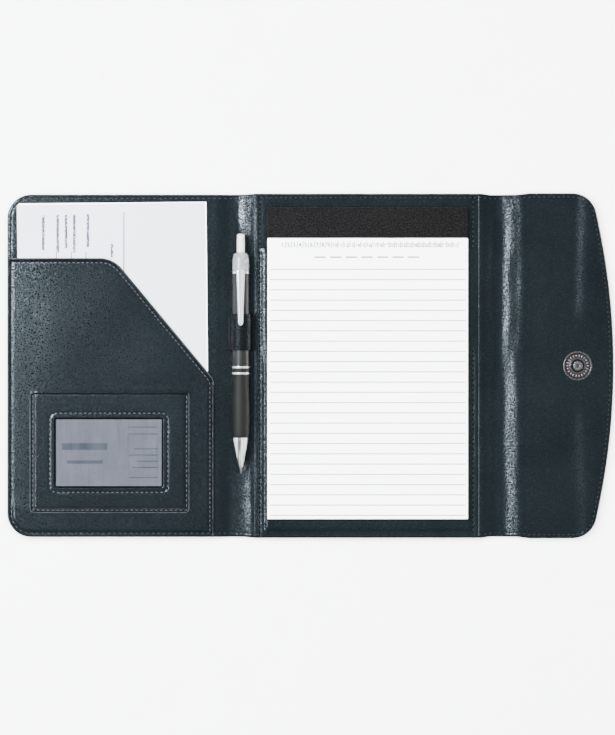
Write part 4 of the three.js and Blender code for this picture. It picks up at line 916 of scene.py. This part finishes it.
def make_pen_loop():
    """A leather strap over the pen: a flat end, a round arch and a flat end, rounded at its edges."""
    thick = 0.7
    middle = LOOP_HIGH[2] - PEN_Z - thick / 2
    base = INNER + thick / 2 - 0.6
    foot = [((LOOP_HIGH[0] - LOOP_LOW[0]) / 2, base), (middle + 1.2, base), (middle + 0.35, base + 0.5)]
    arch = [(middle * math.cos(a), PEN_Z + middle * math.sin(a)) for a in np.linspace(math.pi, 0, 29)]
    line = sample(np.array([(-x, z) for x, z in foot] + arch + foot[::-1]), np.linspace(0, 1, 64))
    tangent = np.gradient(line, axis=0)
    tangent /= np.linalg.norm(tangent, axis=1)[:, None]
    normal = np.column_stack([-tangent[:, 1], tangent[:, 0]])
    edge = np.array([0, 0.08, 0.25, 0.5, 0.9, 1.4, 2, 2.6])
    low, high = LOOP_LOW[1], LOOP_HIGH[1]
    loops = []
    for y in np.concatenate([low + edge, np.linspace(low + 4, high - 4, 10), (high - edge)[::-1]]):
        d = min(y - low, high - y)
        half = thick / 2 * float(rounded(d, 0.45, 0.15, 1))
        ring = np.concatenate([line + normal * (half + groove(d, 1.7, 0.1)), (line - normal * half)[::-1]])
        loops.append(columns(PEN_X + ring[:, 0], y, ring[:, 1]))
    dress(loft("pen_loop_strap", loops, shaded_loop_leather), "leather", "spine", "pen_loop")


# Stitches and seams

# Of a stitch: place along it and thickness, both as shares, and drop. Of a hole: share and lift.
STITCH_RINGS = [(-0.5, 0.12, -0.3), (-0.38, 0.75, -0.05), (-0.15, 1, 0.04),
                (0.15, 1, 0.04), (0.38, 0.75, -0.05), (0.5, 0.12, -0.3)]
HOLE_RINGS = [(1, -0.14), (0.8, -0.02), (0.35, 0.035)]


def stitch_count(path, pitch):
    return max(int(np.linalg.norm(np.diff(path, axis=0), axis=1).sum() / pitch), 1)


def stitches(path, height, pitch=STITCH_PITCH):
    """Spindle-shaped stitches along a plan path, each sunk into the leather at its ends."""
    count = stitch_count(path, pitch)
    shares = (np.arange(count) + 0.5) / count
    parts = []
    for centre, a, b in zip(*(sample(path, shares + step) for step in (0, -0.001, 0.001))):
        tangent = (b - a) / np.linalg.norm(b - a)
        vertices = []
        for along, share, drop in STITCH_RINGS:
            x, y = centre + tangent * (along * STITCH_LENGTH)
            side, rise = circle(share * THREAD, turns(6)).T
            vertices += list(columns(x - tangent[1] * side, y + tangent[0] * side,
                                     height(x, y) + drop + STITCH_LIFT + THREAD_FLATNESS * rise))
        parts.append((vertices, loop_faces(len(STITCH_RINGS), 6)))
    return joined(parts)


def needle_holes(path, height, pitch=STITCH_PITCH):
    """The dark hole at each end of a stitch, as a flat bead sunk in the groove: painted shade for the hole."""
    count = stitch_count(path, pitch)
    return joined((np.concatenate([columns(*circle(NEEDLE_HOLE * share, turns(8), x, y).T,
                                           height(x, y) + HOLE_LIFT + lift) for share, lift in HOLE_RINGS]),
                   loop_faces(len(HOLE_RINGS), 8)) for x, y in sample(path, np.arange(count + 1) / count))


def stitching(name, yarn, fold, *rows):
    """Rows of stitches (path, height, pitch) and their needle holes."""
    for suffix, maker, material in (("", stitches, yarn), ("_holes", needle_holes, shade_black)):
        dress(many(name + suffix, [maker(*row) for row in rows], material), "leather", fold)


def sunk(height, depth=0.16):
    return lambda x, y: height(x, y) - depth


def make_stitching():
    bottom, _, top, left = cover_outline(STITCH_INSET)
    border = chain(bottom[::-1], left, top)
    beside = (border[:, 0] < COVER_EDGE + COVER_CORNER / 2) & (border[:, 1] < POCKET_HIGH[1])
    first, last = np.flatnonzero(beside)[[0, -1]]
    stitching("front_edge_stitching", shaded_edge_thread, COVER_FOLD,
              (border[:first + 1], sunk(front_height), EDGE_PITCH),
              (border[last:], sunk(front_height), EDGE_PITCH))
    bottom, right, _, left = patch_sides(OUTER_FRAME, [FRAME_SEAM] * 4)
    stitching("pocket_stitching", thread, COVER_FOLD,
              (pocket_mouth(MOUTH_SEAM), sunk(pocket_height, 0.1), POCKET_PITCH),
              (border[first:last + 1], sunk(front_height, 0.05), EDGE_PITCH),
              (chain(left[::-1], bottom, right), sunk(frame_height, 0.12)),
              (closed_line(loop_points(OPENING, -WINDOW_SEAM)), sunk(frame_height, 0.12)))
    for name, outline, fold, x in (("spine_stitching", spine_outline, SPINE_FOLD, PAD_COLUMNS[0]),
                                   ("gusset_stitching", gusset_outline, GUSSET_FOLD, PAD_COLUMNS[1])):
        bottom, _, top, _ = outline(STITCH_INSET)
        column = np.array([[x, 4 - CENTRE_HALF], [x, CENTRE_HALF - 4]])
        stitching(name, shaded_thread, fold, (bottom, sunk(inner_height)), (top, sunk(inner_height)),
                  (column, sunk(pad_pocket_height)))
    bottom, right, top, _ = flap_outline(STITCH_INSET)
    stitching("flap_stitching", shaded_thread, FLAP_FOLD, (chain(bottom, right, top[::-1]), sunk(inner_height)))


def make_seam_lines():
    """Painted shadow lines in the gaps beside the turned edges and round the window, and a painted highlight line
    along each edge.
    """
    def frame_line(d, top_d):
        bottom, right, top, left = patch_sides(OUTER_FRAME, [d, d, top_d, d])
        return chain(left[::-1], bottom, right, top[::-1])

    # Painted highlights: the pale line along the mouth runs only down its upper part.
    highlight_mouth = pocket_mouth(HIGHLIGHT_INSET)
    highlight_mouth = highlight_mouth[highlight_mouth[:, 1] > HIGHLIGHT_DOWN_TO]
    # The shadow lines are near-black strips laid where the gaps and the window's edge lie in shade.
    for name, line, height, lift in (
            ("document_pocket_mouth_shadow_line", pocket_mouth(GAP_INSET), pocket_height, -0.02),
            ("document_pocket_side_shadow_line", pocket_sides(GAP_INSET)[3], pocket_height, -0.02),
            ("document_pocket_mouth_rubbed_edge", highlight_mouth, pocket_height, 0.31),
            ("document_pocket_side_rubbed_edge", pocket_sides(HIGHLIGHT_INSET)[3], pocket_height, 0.03),
            ("card_pocket_shadow_line", frame_line(1.1, 1.8), frame_height, -0.02),
            ("card_pocket_rubbed_edge", frame_line(0.4, 0.5), frame_height, 0.03),
            ("card_window_shadow_line", closed_line(loop_points(OPENING, 0.42)), lambda x, y: FILM_HIGH[2], 0.06)):
        rubbed = name.endswith("rubbed_edge")
        half = HIGHLIGHT_HALF if rubbed else WINDOW_SHADOW if name == "card_window_shadow_line" else SEAM_SHADOW
        piece = laid(name, sample(line, np.linspace(0, 1, 300)), height, lift, pillow(half, 0.06, 8),
                     edge_highlight_hide if rubbed else shade_black)
        dress(piece, "leather", "front_cover")


def make_seam_rolls():
    """The turned edges of the centre lining, lying proud along both of its folds, in paler leather as a painted
    highlight line.
    """
    ys = np.linspace(1.6 - CENTRE_HALF, CENTRE_HALF - 1.6, 200)
    for name, x, fold in (("centre_lining_right_roll", GUSSET_CREASE + 0.2, GUSSET_FOLD),
                          ("centre_lining_left_roll", SPINE_CREASE - 1.6, SPINE_FOLD)):
        plan = columns(x + 0.08 * ripple(1, ys, 9, 14, 2.2), ys)
        roll = laid(name, plan, inner_height, 0.05, pillow(0.42, 0.3, 12, 2), fold_highlight_hide)
        dress(roll, "lining_leather", fold)


# Round parts

def lathe(name, profile, material, x, z=None, segments=64, crease=35, closed=False):
    """A solid of revolution from (radius, along) pairs, about the Y axis at z, or upright without one."""
    loops = []
    for radius, along in profile:
        a, b = circle(max(radius, 0.001), turns(segments)).T
        loops.append(columns(x + a, b, along) if z is None else columns(x + a, along, z + b))
    return loft(name, loops, material, closed, crease)


def corner_round(radius, along, size):
    """Points of a rounded end, from the side to the face; size is negative at a lower end."""
    return [(radius - abs(size) * (1 - math.cos(a)), along - size * (1 - math.sin(a)))
            for a in np.linspace(0, math.pi / 2, 5)]


def rod(radius, low, high, size):
    """Profile of a solid rod with rounded ends."""
    return [(0, low), *corner_round(radius, low, -size)[::-1], *corner_round(radius, high, size), (0, high)]


def shifted(start, *profile):
    return [(radius, start + along) for radius, along in profile]


def pen_piece(name, node, profile, material, slot="pen_silver", body="pen", segments=64, crease=35):
    dress(lathe(name, profile, material, PEN_X, PEN_Z, segments, crease), slot, body, node)


def make_pen():
    for node, name, material, slot, size in (
            ("pen_barrel", "pen_upper_barrel", barrel_plastic, "pen_dark_barrel", 0.15),
            ("pen_sleeve", "pen_middle_sleeve", pen_rubber, "pen_grip_rubber", 0.1),
            ("pen_ring_lower", "pen_lower_band", silver, "pen_silver", 0.25),
            ("pen_ring_upper", "pen_upper_band", silver, "pen_silver", 0.25)):
        low, high = span(node)
        pen_piece(name, node, rod((high[0] - low[0]) / 2, low[1], high[1], size), material, slot)

    low, high = GRIP_LOW[1], GRIP_HIGH[1]
    t = np.linspace(0.08, 0.97, 24)
    bulge = (GRIP_HIGH[0] - GRIP_LOW[0]) / 2 - 0.5 * smooth((t - 0.45) / 0.5) - 0.35 * smooth((0.3 - t) / 0.3)
    pen_piece("pen_soft_grip", "pen_grip", [
        *shifted(low, (0, 0), (4.6, 0), (4.95, 0.3), (5.15, 1.2)), *zip(bulge, low + t * (high - low)),
        *shifted(high, (5.15, -0.2), (4.9, 0), (0, 0))], pen_rubber, "pen_grip_rubber")

    (_, tip, _), (_, top, _) = span("pen_cone")
    pen_piece("pen_silver_cone", "pen_cone", [
        *shifted(tip, (0, 0), (1.15, 0), (1.35, 0.25), (1.5, 1.4), (1.75, 1.6), (3.0, 8), (4.25, 14.4),
                 (4.7, 16.2), (4.85, 17)), (4.85, top), (0, top)], cone_reflection_silver, segments=16, crease=18)

    (_, low, _), (_, top, _) = span("pen_collar")
    dome = [(3.5 + 1.9 * math.cos(a) ** 0.8, low + (top - low) * (0.4 + 0.58 * math.sin(a)))
            for a in np.linspace(0, 1, 12) * math.pi / 2]
    pen_piece("pen_shoulder_collar", "pen_collar",
              [*shifted(low, (0, 0), (5.2, 0), (5.4, 0.2)), *dome, (3.2, top), (0, top)], collar_plastic)

    low, high = span("pen_button")
    radius = (high[0] - low[0]) / 2
    pen_piece("pen_push_button", "pen_button", [
        (0, low[1]), (radius, low[1]), *shifted(high[1], (radius, -4), (radius - 0.1, -3.6)),
        *corner_round(radius - 0.1, high[1], 0.9), (0, high[1] + 0.05)], button_plastic, body="pen_plunger")

    (_, tip, _), (_, top, _) = span("pen_refill")
    pen_piece("pen_refill_and_nib", "pen_refill", [
        *shifted(tip, (0, 0), (0.22, 0.05), (0.36, 0.3), (0.38, 0.6), (0.62, 1.6), (0.8, 4), (0.8, 9), (1.1, 9.6),
                 (1.1, 20), (1.5, 20.3)), (1.5, top), (0, top)], brass, "refill_plastic", "pen_plunger", 32)


CLIP_SECTION = ((-1, 0), (-0.85, 0.9), (-0.4, 1), (0, 1), (0.4, 1), (0.85, 0.9), (1, 0),
                (0.85, -0.9), (0.3, -1), (-0.3, -1), (-0.85, -0.9))
RISER_SECTION = ((-1, -0.6), (-0.8, -1), (0.8, -1), (1, -0.6), (1, 0.6), (0.8, 1), (-0.8, 1), (-1, 0.6))


def make_clip():
    """The clip: a tapered springy strip with rolled edges, bent down to its ring at the collar."""
    low, high = span("pen_clip")
    arch, thick, root, tip = 0.2, 0.55, 5.6, 2.9
    top = high[2] - arch
    loops = []
    for t in (0, *np.linspace(0.01, 0.99, 30), 1):
        half = (root * (1 - t) + tip * t) / 2
        pinch = math.sqrt(max(1 - (1 - min(t / 0.05, (1 - t) / 0.05, 1)) ** 2, 0.02))
        loops.append([(PEN_X + half * pinch * a, high[1] + (low[1] - high[1]) * t,
                       top - thick / 2 + b * thick / 2 * pinch + arch * pinch * (1 - a * a) * (b > 0))
                      for a, b in CLIP_SECTION])
    ring = span("pen_barrel")[1][1]
    riser = [[(PEN_X + a * 2.3, ring + 0.7 + b * 0.65, z) for a, b in RISER_SECTION]
             for z in np.linspace(PEN_Z + 3.6, top - thick / 2, 6)]
    for piece in (loft("pen_pocket_clip", loops, silver, crease=60),
                  loft("pen_clip_riser", riser, silver, crease=60),
                  lathe("pen_clip_ring", rod(5.42, ring + 0.02, ring + 1.38, 0.15), silver, PEN_X, PEN_Z)):
        dress(piece, "pen_silver", "pen", "pen_clip")


BEAD_COUNT, BEAD_SIZE, BEAD_HEIGHT = 22, (0.85, 0.42), 0.34


def stud_bead(distance, angle, floor):
    """A small radial bead on the stud's disc."""
    vertices = []
    for lift in np.linspace(0, math.pi / 2, 4):
        u, v = (circle(math.cos(lift), turns(12)) * BEAD_SIZE).T
        u = u + distance
        vertices += list(columns(STUD_X + u * math.cos(angle) - v * math.sin(angle),
                                 u * math.sin(angle) + v * math.cos(angle),
                                 floor - 0.05 + BEAD_HEIGHT * math.sin(lift)))
    return vertices, loop_faces(4, 12)[:-1]


def make_snap():
    """The stud half on the flap and the socket half under the cover, as pressed metal."""
    radius, top, floor = (STUD_HIGH[0] - STUD_LOW[0]) / 2, STUD_HIGH[2], INNER + 0.7
    disc = lathe("snap_stud_disc", [
        *shifted(INNER, (0, -0.3), (radius - 0.1, -0.3), (radius, 0.1)), (radius, top - 0.5),
        *((radius - 0.62 + 0.62 * math.cos(a), top - 0.5 + 0.5 * math.sin(a)) for a in np.linspace(0, math.pi, 9)),
        *shifted(floor, (radius - 1.4, 0.05), (radius - 1.6, 0), (5.3, 0), (5.1, 0.15), (4.95, 0.35), (4.7, 0.42),
                 (4.45, 0.35), (4.35, 0.1)), (4.3, INNER + 0.2), (0, INNER + 0.2)],
        stud_metal, STUD_X, segments=96, crease=50)
    ring = (radius - 1.5 + 5.2) / 2
    beads = many("snap_stud_beads", [stud_bead(ring, angle, floor) for angle in turns(BEAD_COUNT)], steel)
    angles = turns(72)
    lobes = 3.1 * (1 + 0.05 * np.cos(3 * angles))
    post_top = span("snap_stud_post")[1][2]
    loops = [columns(*circle(lobes - shrink, angles, STUD_X).T, z) for shrink, z in (
        (0, INNER + 0.25), *shifted(post_top, (0, -0.55), (0.06, -0.3), (0.22, -0.1), (0.5, 0), (1.6, 0),
                                    (1.95, -0.08), (2.3, -0.3), (2.75, -0.42)))]
    nose = loft("snap_stud_nose", loops, stud_metal, crease=50)
    well = lathe("snap_stud_well", shifted(INNER, (0, 0.2), (4.3, 0.2), (4.3, 0.3), (0, 0.3)), stud_metal, STUD_X)
    for piece, *nodes in ((disc, "snap_stud_plate"), (beads,), (nose, "snap_stud_post"), (well,)):
        dress(piece, "snap_metal", "flap", *nodes)
    radius, bore = (SOCKET_HIGH[0] - SOCKET_LOW[0]) / 2, 3.6
    cup = lathe("snap_socket_cup", [
        (bore, UNDER - 0.3), (bore, 0.45), (bore + 0.1, 0.2), (bore + 0.35, 0.02), (bore + 0.7, 0), (5.2, 0),
        (5.4, 0.12), (5.8, 0.16), (6.2, 0.12), (6.4, 0), (radius - 0.9, 0), (radius - 0.45, 0.08),
        (radius - 0.12, 0.32), (radius, 0.7), (radius, UNDER + 0.2), (bore, UNDER + 0.2)],
        steel, SOCKET_X, segments=96, crease=40, closed=True)
    dress(cup, "snap_metal", "front_cover", "snap_socket_cap")


# Pad

def slab(low, high, radius=0.0):
    """Vertices and faces of a box with softly rounded upright corners."""
    plan = np.concatenate(corner_arcs(rectangle(low, high, radius), 3))
    return np.concatenate([columns(*plan.T, z) for z in (low[2], high[2])]), loop_faces(2, len(plan))


def make_leaves():
    """The bound leaves as a stack of thin slabs, each a little out of line with the next."""
    random = np.random.default_rng(5)
    layers, loose = 10, 0.08
    base = PAD_POCKET_HIGH[2] + 0.08
    step = (LEAVES_HIGH[2] - base) / layers
    (x0, y0, z0), (x1, y1, _) = LEAVES_LOW, LEAVES_HIGH
    parts = []
    for k in range(layers):
        dx, dy = random.uniform(-loose, loose, 2)
        parts.append(slab((x0 + 0.35 + dx, y0 + 0.1 + dy, base + k * step),
                          (x1 - 0.35 + dx, y1 - 0.1, base + (k + 0.93) * step), 0.4))
    parts.append(slab((x0 + 0.3, PAD_POCKET_HIGH[1] + 0.4, z0), (x1 - 0.3, y1 - 0.05, base)))
    dress(add_mesh("pad_leaves", *joined(parts), leaf_paper, crease=30), "paper", "pad", "pad_sheets")


STRIP_OVERHANG, STRIP_THICK = 0.35, 0.45


def make_binding_strip():
    """The leather strip folded over the pad's bound edge, soft at its corners."""
    (x0, y0, z0), (x1, y1, z1) = STRIP_LOW, STRIP_HIGH
    x0, x1 = x0 - STRIP_OVERHANG, x1 + STRIP_OVERHANG
    line = [(y0, z1 - STRIP_THICK), (y0 + 0.05, z1 - 0.15), (y0 + 0.3, z1 - 0.03), (y0 + 0.8, z1), (y1 - 0.9, z1),
            (y1 - 0.35, z1 - 0.1), (y1 - 0.08, z1 - 0.4), (y1, z1 - 0.9), (y1, z0 + 0.4), (y1 - 0.1, z0 + 0.1),
            (y1 - 0.4, z0), (y1 - 12, z0), (y1 - 12, z0 + 0.3), (y1 - STRIP_THICK, z0 + 0.3),
            (y1 - STRIP_THICK, z1 - STRIP_THICK)]
    edge = np.array([0, 0.1, 0.3, 0.7])
    loops = []
    for x in np.unique(np.concatenate([edge, np.linspace(2, x1 - x0 - 2, 40), x1 - x0 - edge])):
        soften = 0.2 * (1 - float(rounded(min(x, x1 - x0 - x), 0.7, 0, 1)))
        loops.append([(x0 + x, y - soften * (y > y1 - 1), z - soften * (z > z1 - 0.3)) for y, z in line])
    piece = loft("pad_strip_leather", loops, strip_leather, crease=50)
    dress(piece, "binding_leather", "pad", "pad_binding_strip")


def sheet_grid(low, high, us, vs):
    """Plan coordinates of a rectangular sheet."""
    return np.meshgrid(low[0] + us * (high[0] - low[0]), low[1] + vs * (high[1] - low[1]), indexing="ij")


def make_top_page():
    vs = np.concatenate([np.linspace(0, 0.9, 50), np.linspace(0.905, 1, 30)])
    x, y = sheet_grid(PAGE_LOW, PAGE_HIGH, np.linspace(0, 1, 31), vs)
    top = np.full(x.shape, PAGE_HIGH[2])
    piece = shell("pad_ruled_page", np.dstack([x, y]), top, top - 0.12, ALL_SIDES, ruled_paper)
    dress(piece, "paper", PAGE_FOLD, "pad_top_sheet")


# Where the printed header's numbers run, and the plain marks under them
HEADER_LEFT, HEADER_RIGHT, HEADER_Y = -19.6, 95, 77.9
MARKS_LEFT, MARKS_RIGHT, MARKS_Y = 2.5, 73, 70
DAYS, WORDS = 31, 7
DIGIT_SIZE, TWO_DIGIT_SIZE, DIGIT_WEIGHT = 3.7, 3.1, 0.08


def make_header():
    """The row of day numbers with strokes between them, and the marks below, as thin flat print."""
    z = PAGE_HIGH[2]
    pitch, width = (HEADER_RIGHT - HEADER_LEFT) / DAYS, (MARKS_RIGHT - MARKS_LEFT) / WORDS

    def mark(x0, x1, y0, y1, lean=0.0):
        outline = [(x0, y0), (x1, y0), (x1 + lean, y1), (x0 + lean, y1)]
        return [(x, y, z + lift) for lift in (-0.03, 0.02) for x, y in outline], loop_faces(2, 4)

    strokes = [HEADER_LEFT + pitch * day for day in range(1, DAYS + 1)]
    marks = [mark(x - 0.55, x - 0.07, HEADER_Y - 1.9, HEADER_Y + 2.1, 0.5) for x in strokes]
    words = [MARKS_LEFT + k * width for k in range(WORDS)]
    marks += [mark(x, x + width * 0.72, MARKS_Y - 0.42, MARKS_Y + 0.42) for x in words]
    dress(many("pad_header_marks", marks, ink, 30), "paper", PAGE_FOLD)
    numbers = [day_number(day, x - pitch * 0.55) for day, x in enumerate(strokes, 1)]
    with bpy.context.temp_override(active_object=numbers[0], selected_editable_objects=numbers):
        bpy.ops.object.join()
    numbers[0].name = "pad_header_numbers"
    numbers[0].data.materials.clear()
    numbers[0].data.materials.append(ink)
    dress(numbers[0], "paper", PAGE_FOLD)


def day_number(day, x):
    curve = bpy.data.curves.new(f"day_{day}", "FONT")
    curve.body = str(day)
    curve.size = (DIGIT_SIZE if day < 10 else TWO_DIGIT_SIZE) * MM
    curve.extrude, curve.offset, curve.align_x = 0.015 * MM, DIGIT_WEIGHT * MM, "CENTER"
    text = bpy.data.objects.new(f"day_{day}", curve)
    bpy.context.scene.collection.objects.link(text)
    text.location = place(x, HEADER_Y - 1.2, PAGE_HIGH[2] + 0.01)
    bpy.context.view_layer.update()
    mesh = bpy.data.meshes.new_from_object(text.evaluated_get(bpy.context.evaluated_depsgraph_get()))
    mesh.transform(text.matrix_world)
    piece = bpy.data.objects.new(f"day_number_{day}", mesh)
    bpy.context.scene.collection.objects.link(piece)
    bpy.data.objects.remove(text)
    bpy.data.curves.remove(curve)
    return piece


# Loose sheets

SHEET_TRIM = 1.3


def make_loose_sheet(name, node, body, turn, lift, material):
    """A sheet of office paper, turned a little in its pocket and lifting slightly at its free end."""
    low, high = span(node)
    middle_x, middle_y, middle_z = ((a + b) / 2 for a, b in zip(low, high))
    x, y = sheet_grid(low, (high[0] - SHEET_TRIM, high[1]), np.linspace(0, 1, 36), np.linspace(0, 1, 60))
    free = smooth((y - POCKET_SHOULDER_Y - 20) / 90)
    z = middle_z + free * (lift + 0.12 * ripple(x, y, 40, 60, lift * 10))
    c, s = math.cos(math.radians(turn)), math.sin(math.radians(turn))
    dx, dy = x - middle_x, y - middle_y
    points = np.dstack([middle_x + dx * c - dy * s, middle_y + dx * s + dy * c])
    dress(shell(name, points, z + 0.06, z - 0.06, ALL_SIDES, material), "loose_paper", body, node)


# Stage

PHOTO_WIDTH, PHOTO_HEIGHT = 615, 735
PIXELS_PER_MM = 1.55
CENTRE_PIXEL = (310.5, 365.8)
FLOOR_HALF, FLOOR_Z = 4000, -0.05
COOL = (0.76, 0.88, 1.0)


def make_floor():
    corners = [(x, y, FLOOR_Z) for x, y, _ in rectangle((-FLOOR_HALF,) * 2, (FLOOR_HALF,) * 2, 0)]
    add_mesh("floor", corners, [(0, 1, 2, 3)], pale_floor)


def area_light(name, size, energy, location, target=(0, 0, 0), colour=(1, 1, 1), glossy=True):
    light = bpy.data.lights.new(name, "AREA")
    light.shape = "RECTANGLE"
    light.size, light.size_y = size
    light.energy, light.color = energy, colour
    lamp = bpy.data.objects.new(name, light)
    lamp.location = location
    lamp.rotation_euler = (Vector(target) - Vector(location)).to_track_quat("-Z", "Y").to_euler()
    lamp.visible_glossy = glossy
    bpy.context.scene.collection.objects.link(lamp)


def make_lights():
    """A wide overhead fill that leaves no glare, two softboxes for the leather's sheen, two strips.
    Their sizes and places are in metres."""
    area_light("overhead_fill", (3.4, 3.4), 850, (-0.2, 0.2, 2.6), glossy=False)
    area_light("sheen_softbox", (0.28, 0.36), 24, (-0.63, 0.27, 0.95), (-0.05, 0, 0), COOL)
    area_light("low_sheen_softbox", (0.18, 0.3), 4.5, (-0.7, -0.16, 0.95), (0.1, -0.05, 0), COOL)
    area_light("left_strip", (0.25, 1.2), 2, (-1.35, 0.1, 0.62))
    area_light("right_strip", (0.25, 1.2), 1, (1.4, 0.1, 0.6))
    world = bpy.data.worlds.new("studio")
    world.use_nodes = True
    background = world.node_tree.nodes["Background"]
    background.inputs["Color"].default_value = (0.92, 0.95, 1.0, 1)
    background.inputs["Strength"].default_value = 0.06
    bpy.context.scene.world = world


def make_camera():
    """Straight down over the folio, framed as the photograph: PIXELS_PER_MM at the inner faces."""
    camera = bpy.data.cameras.new("camera")
    camera.lens, camera.sensor_width = 150, 36
    camera.clip_start, camera.clip_end = 0.01, 20
    distance = PHOTO_HEIGHT / PIXELS_PER_MM * camera.lens / camera.sensor_width
    view = bpy.data.objects.new("camera", camera)
    view.location = place((PHOTO_WIDTH / 2 - CENTRE_PIXEL[0]) / PIXELS_PER_MM,
                          (CENTRE_PIXEL[1] - PHOTO_HEIGHT / 2) / PIXELS_PER_MM, INNER + distance)
    bpy.context.scene.collection.objects.link(view)
    bpy.context.scene.camera = view


def keep_nodes(material, *nodes):
    """Gives the CAD nodes that stay a material of their own."""
    for node in nodes:
        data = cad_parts[node].data
        data.materials.clear()
        data.materials.append(material)


make_camera()
make_leather()
make_document_pocket()
make_card_pocket()
make_pad_pocket()
make_pen_loop()
make_stitching()
make_seam_lines()
make_seam_rolls()
make_snap()
make_pen()
make_clip()
make_leaves()
make_binding_strip()
make_top_page()
make_header()
make_loose_sheet("loose_sheet_lower", "loose_sheet_back", "sheet_back", 0.5, 0.1, bright_paper)
make_loose_sheet("loose_sheet_upper", "loose_sheet_front", "sheet_front", 0.75, 0.35, form_paper)
keep_nodes(board, "centre_board", "front_board", "flap_board", "pad_back_board")
keep_nodes(card_material(), "card_insert")
keep_nodes(film_material(), "card_window_film")
keep_nodes(steel, "snap_socket_base", "snap_socket_washer", "snap_stud_washer", "pen_spring")
keep_nodes(ferrite, "snap_socket_magnet")
make_floor()
make_lights()
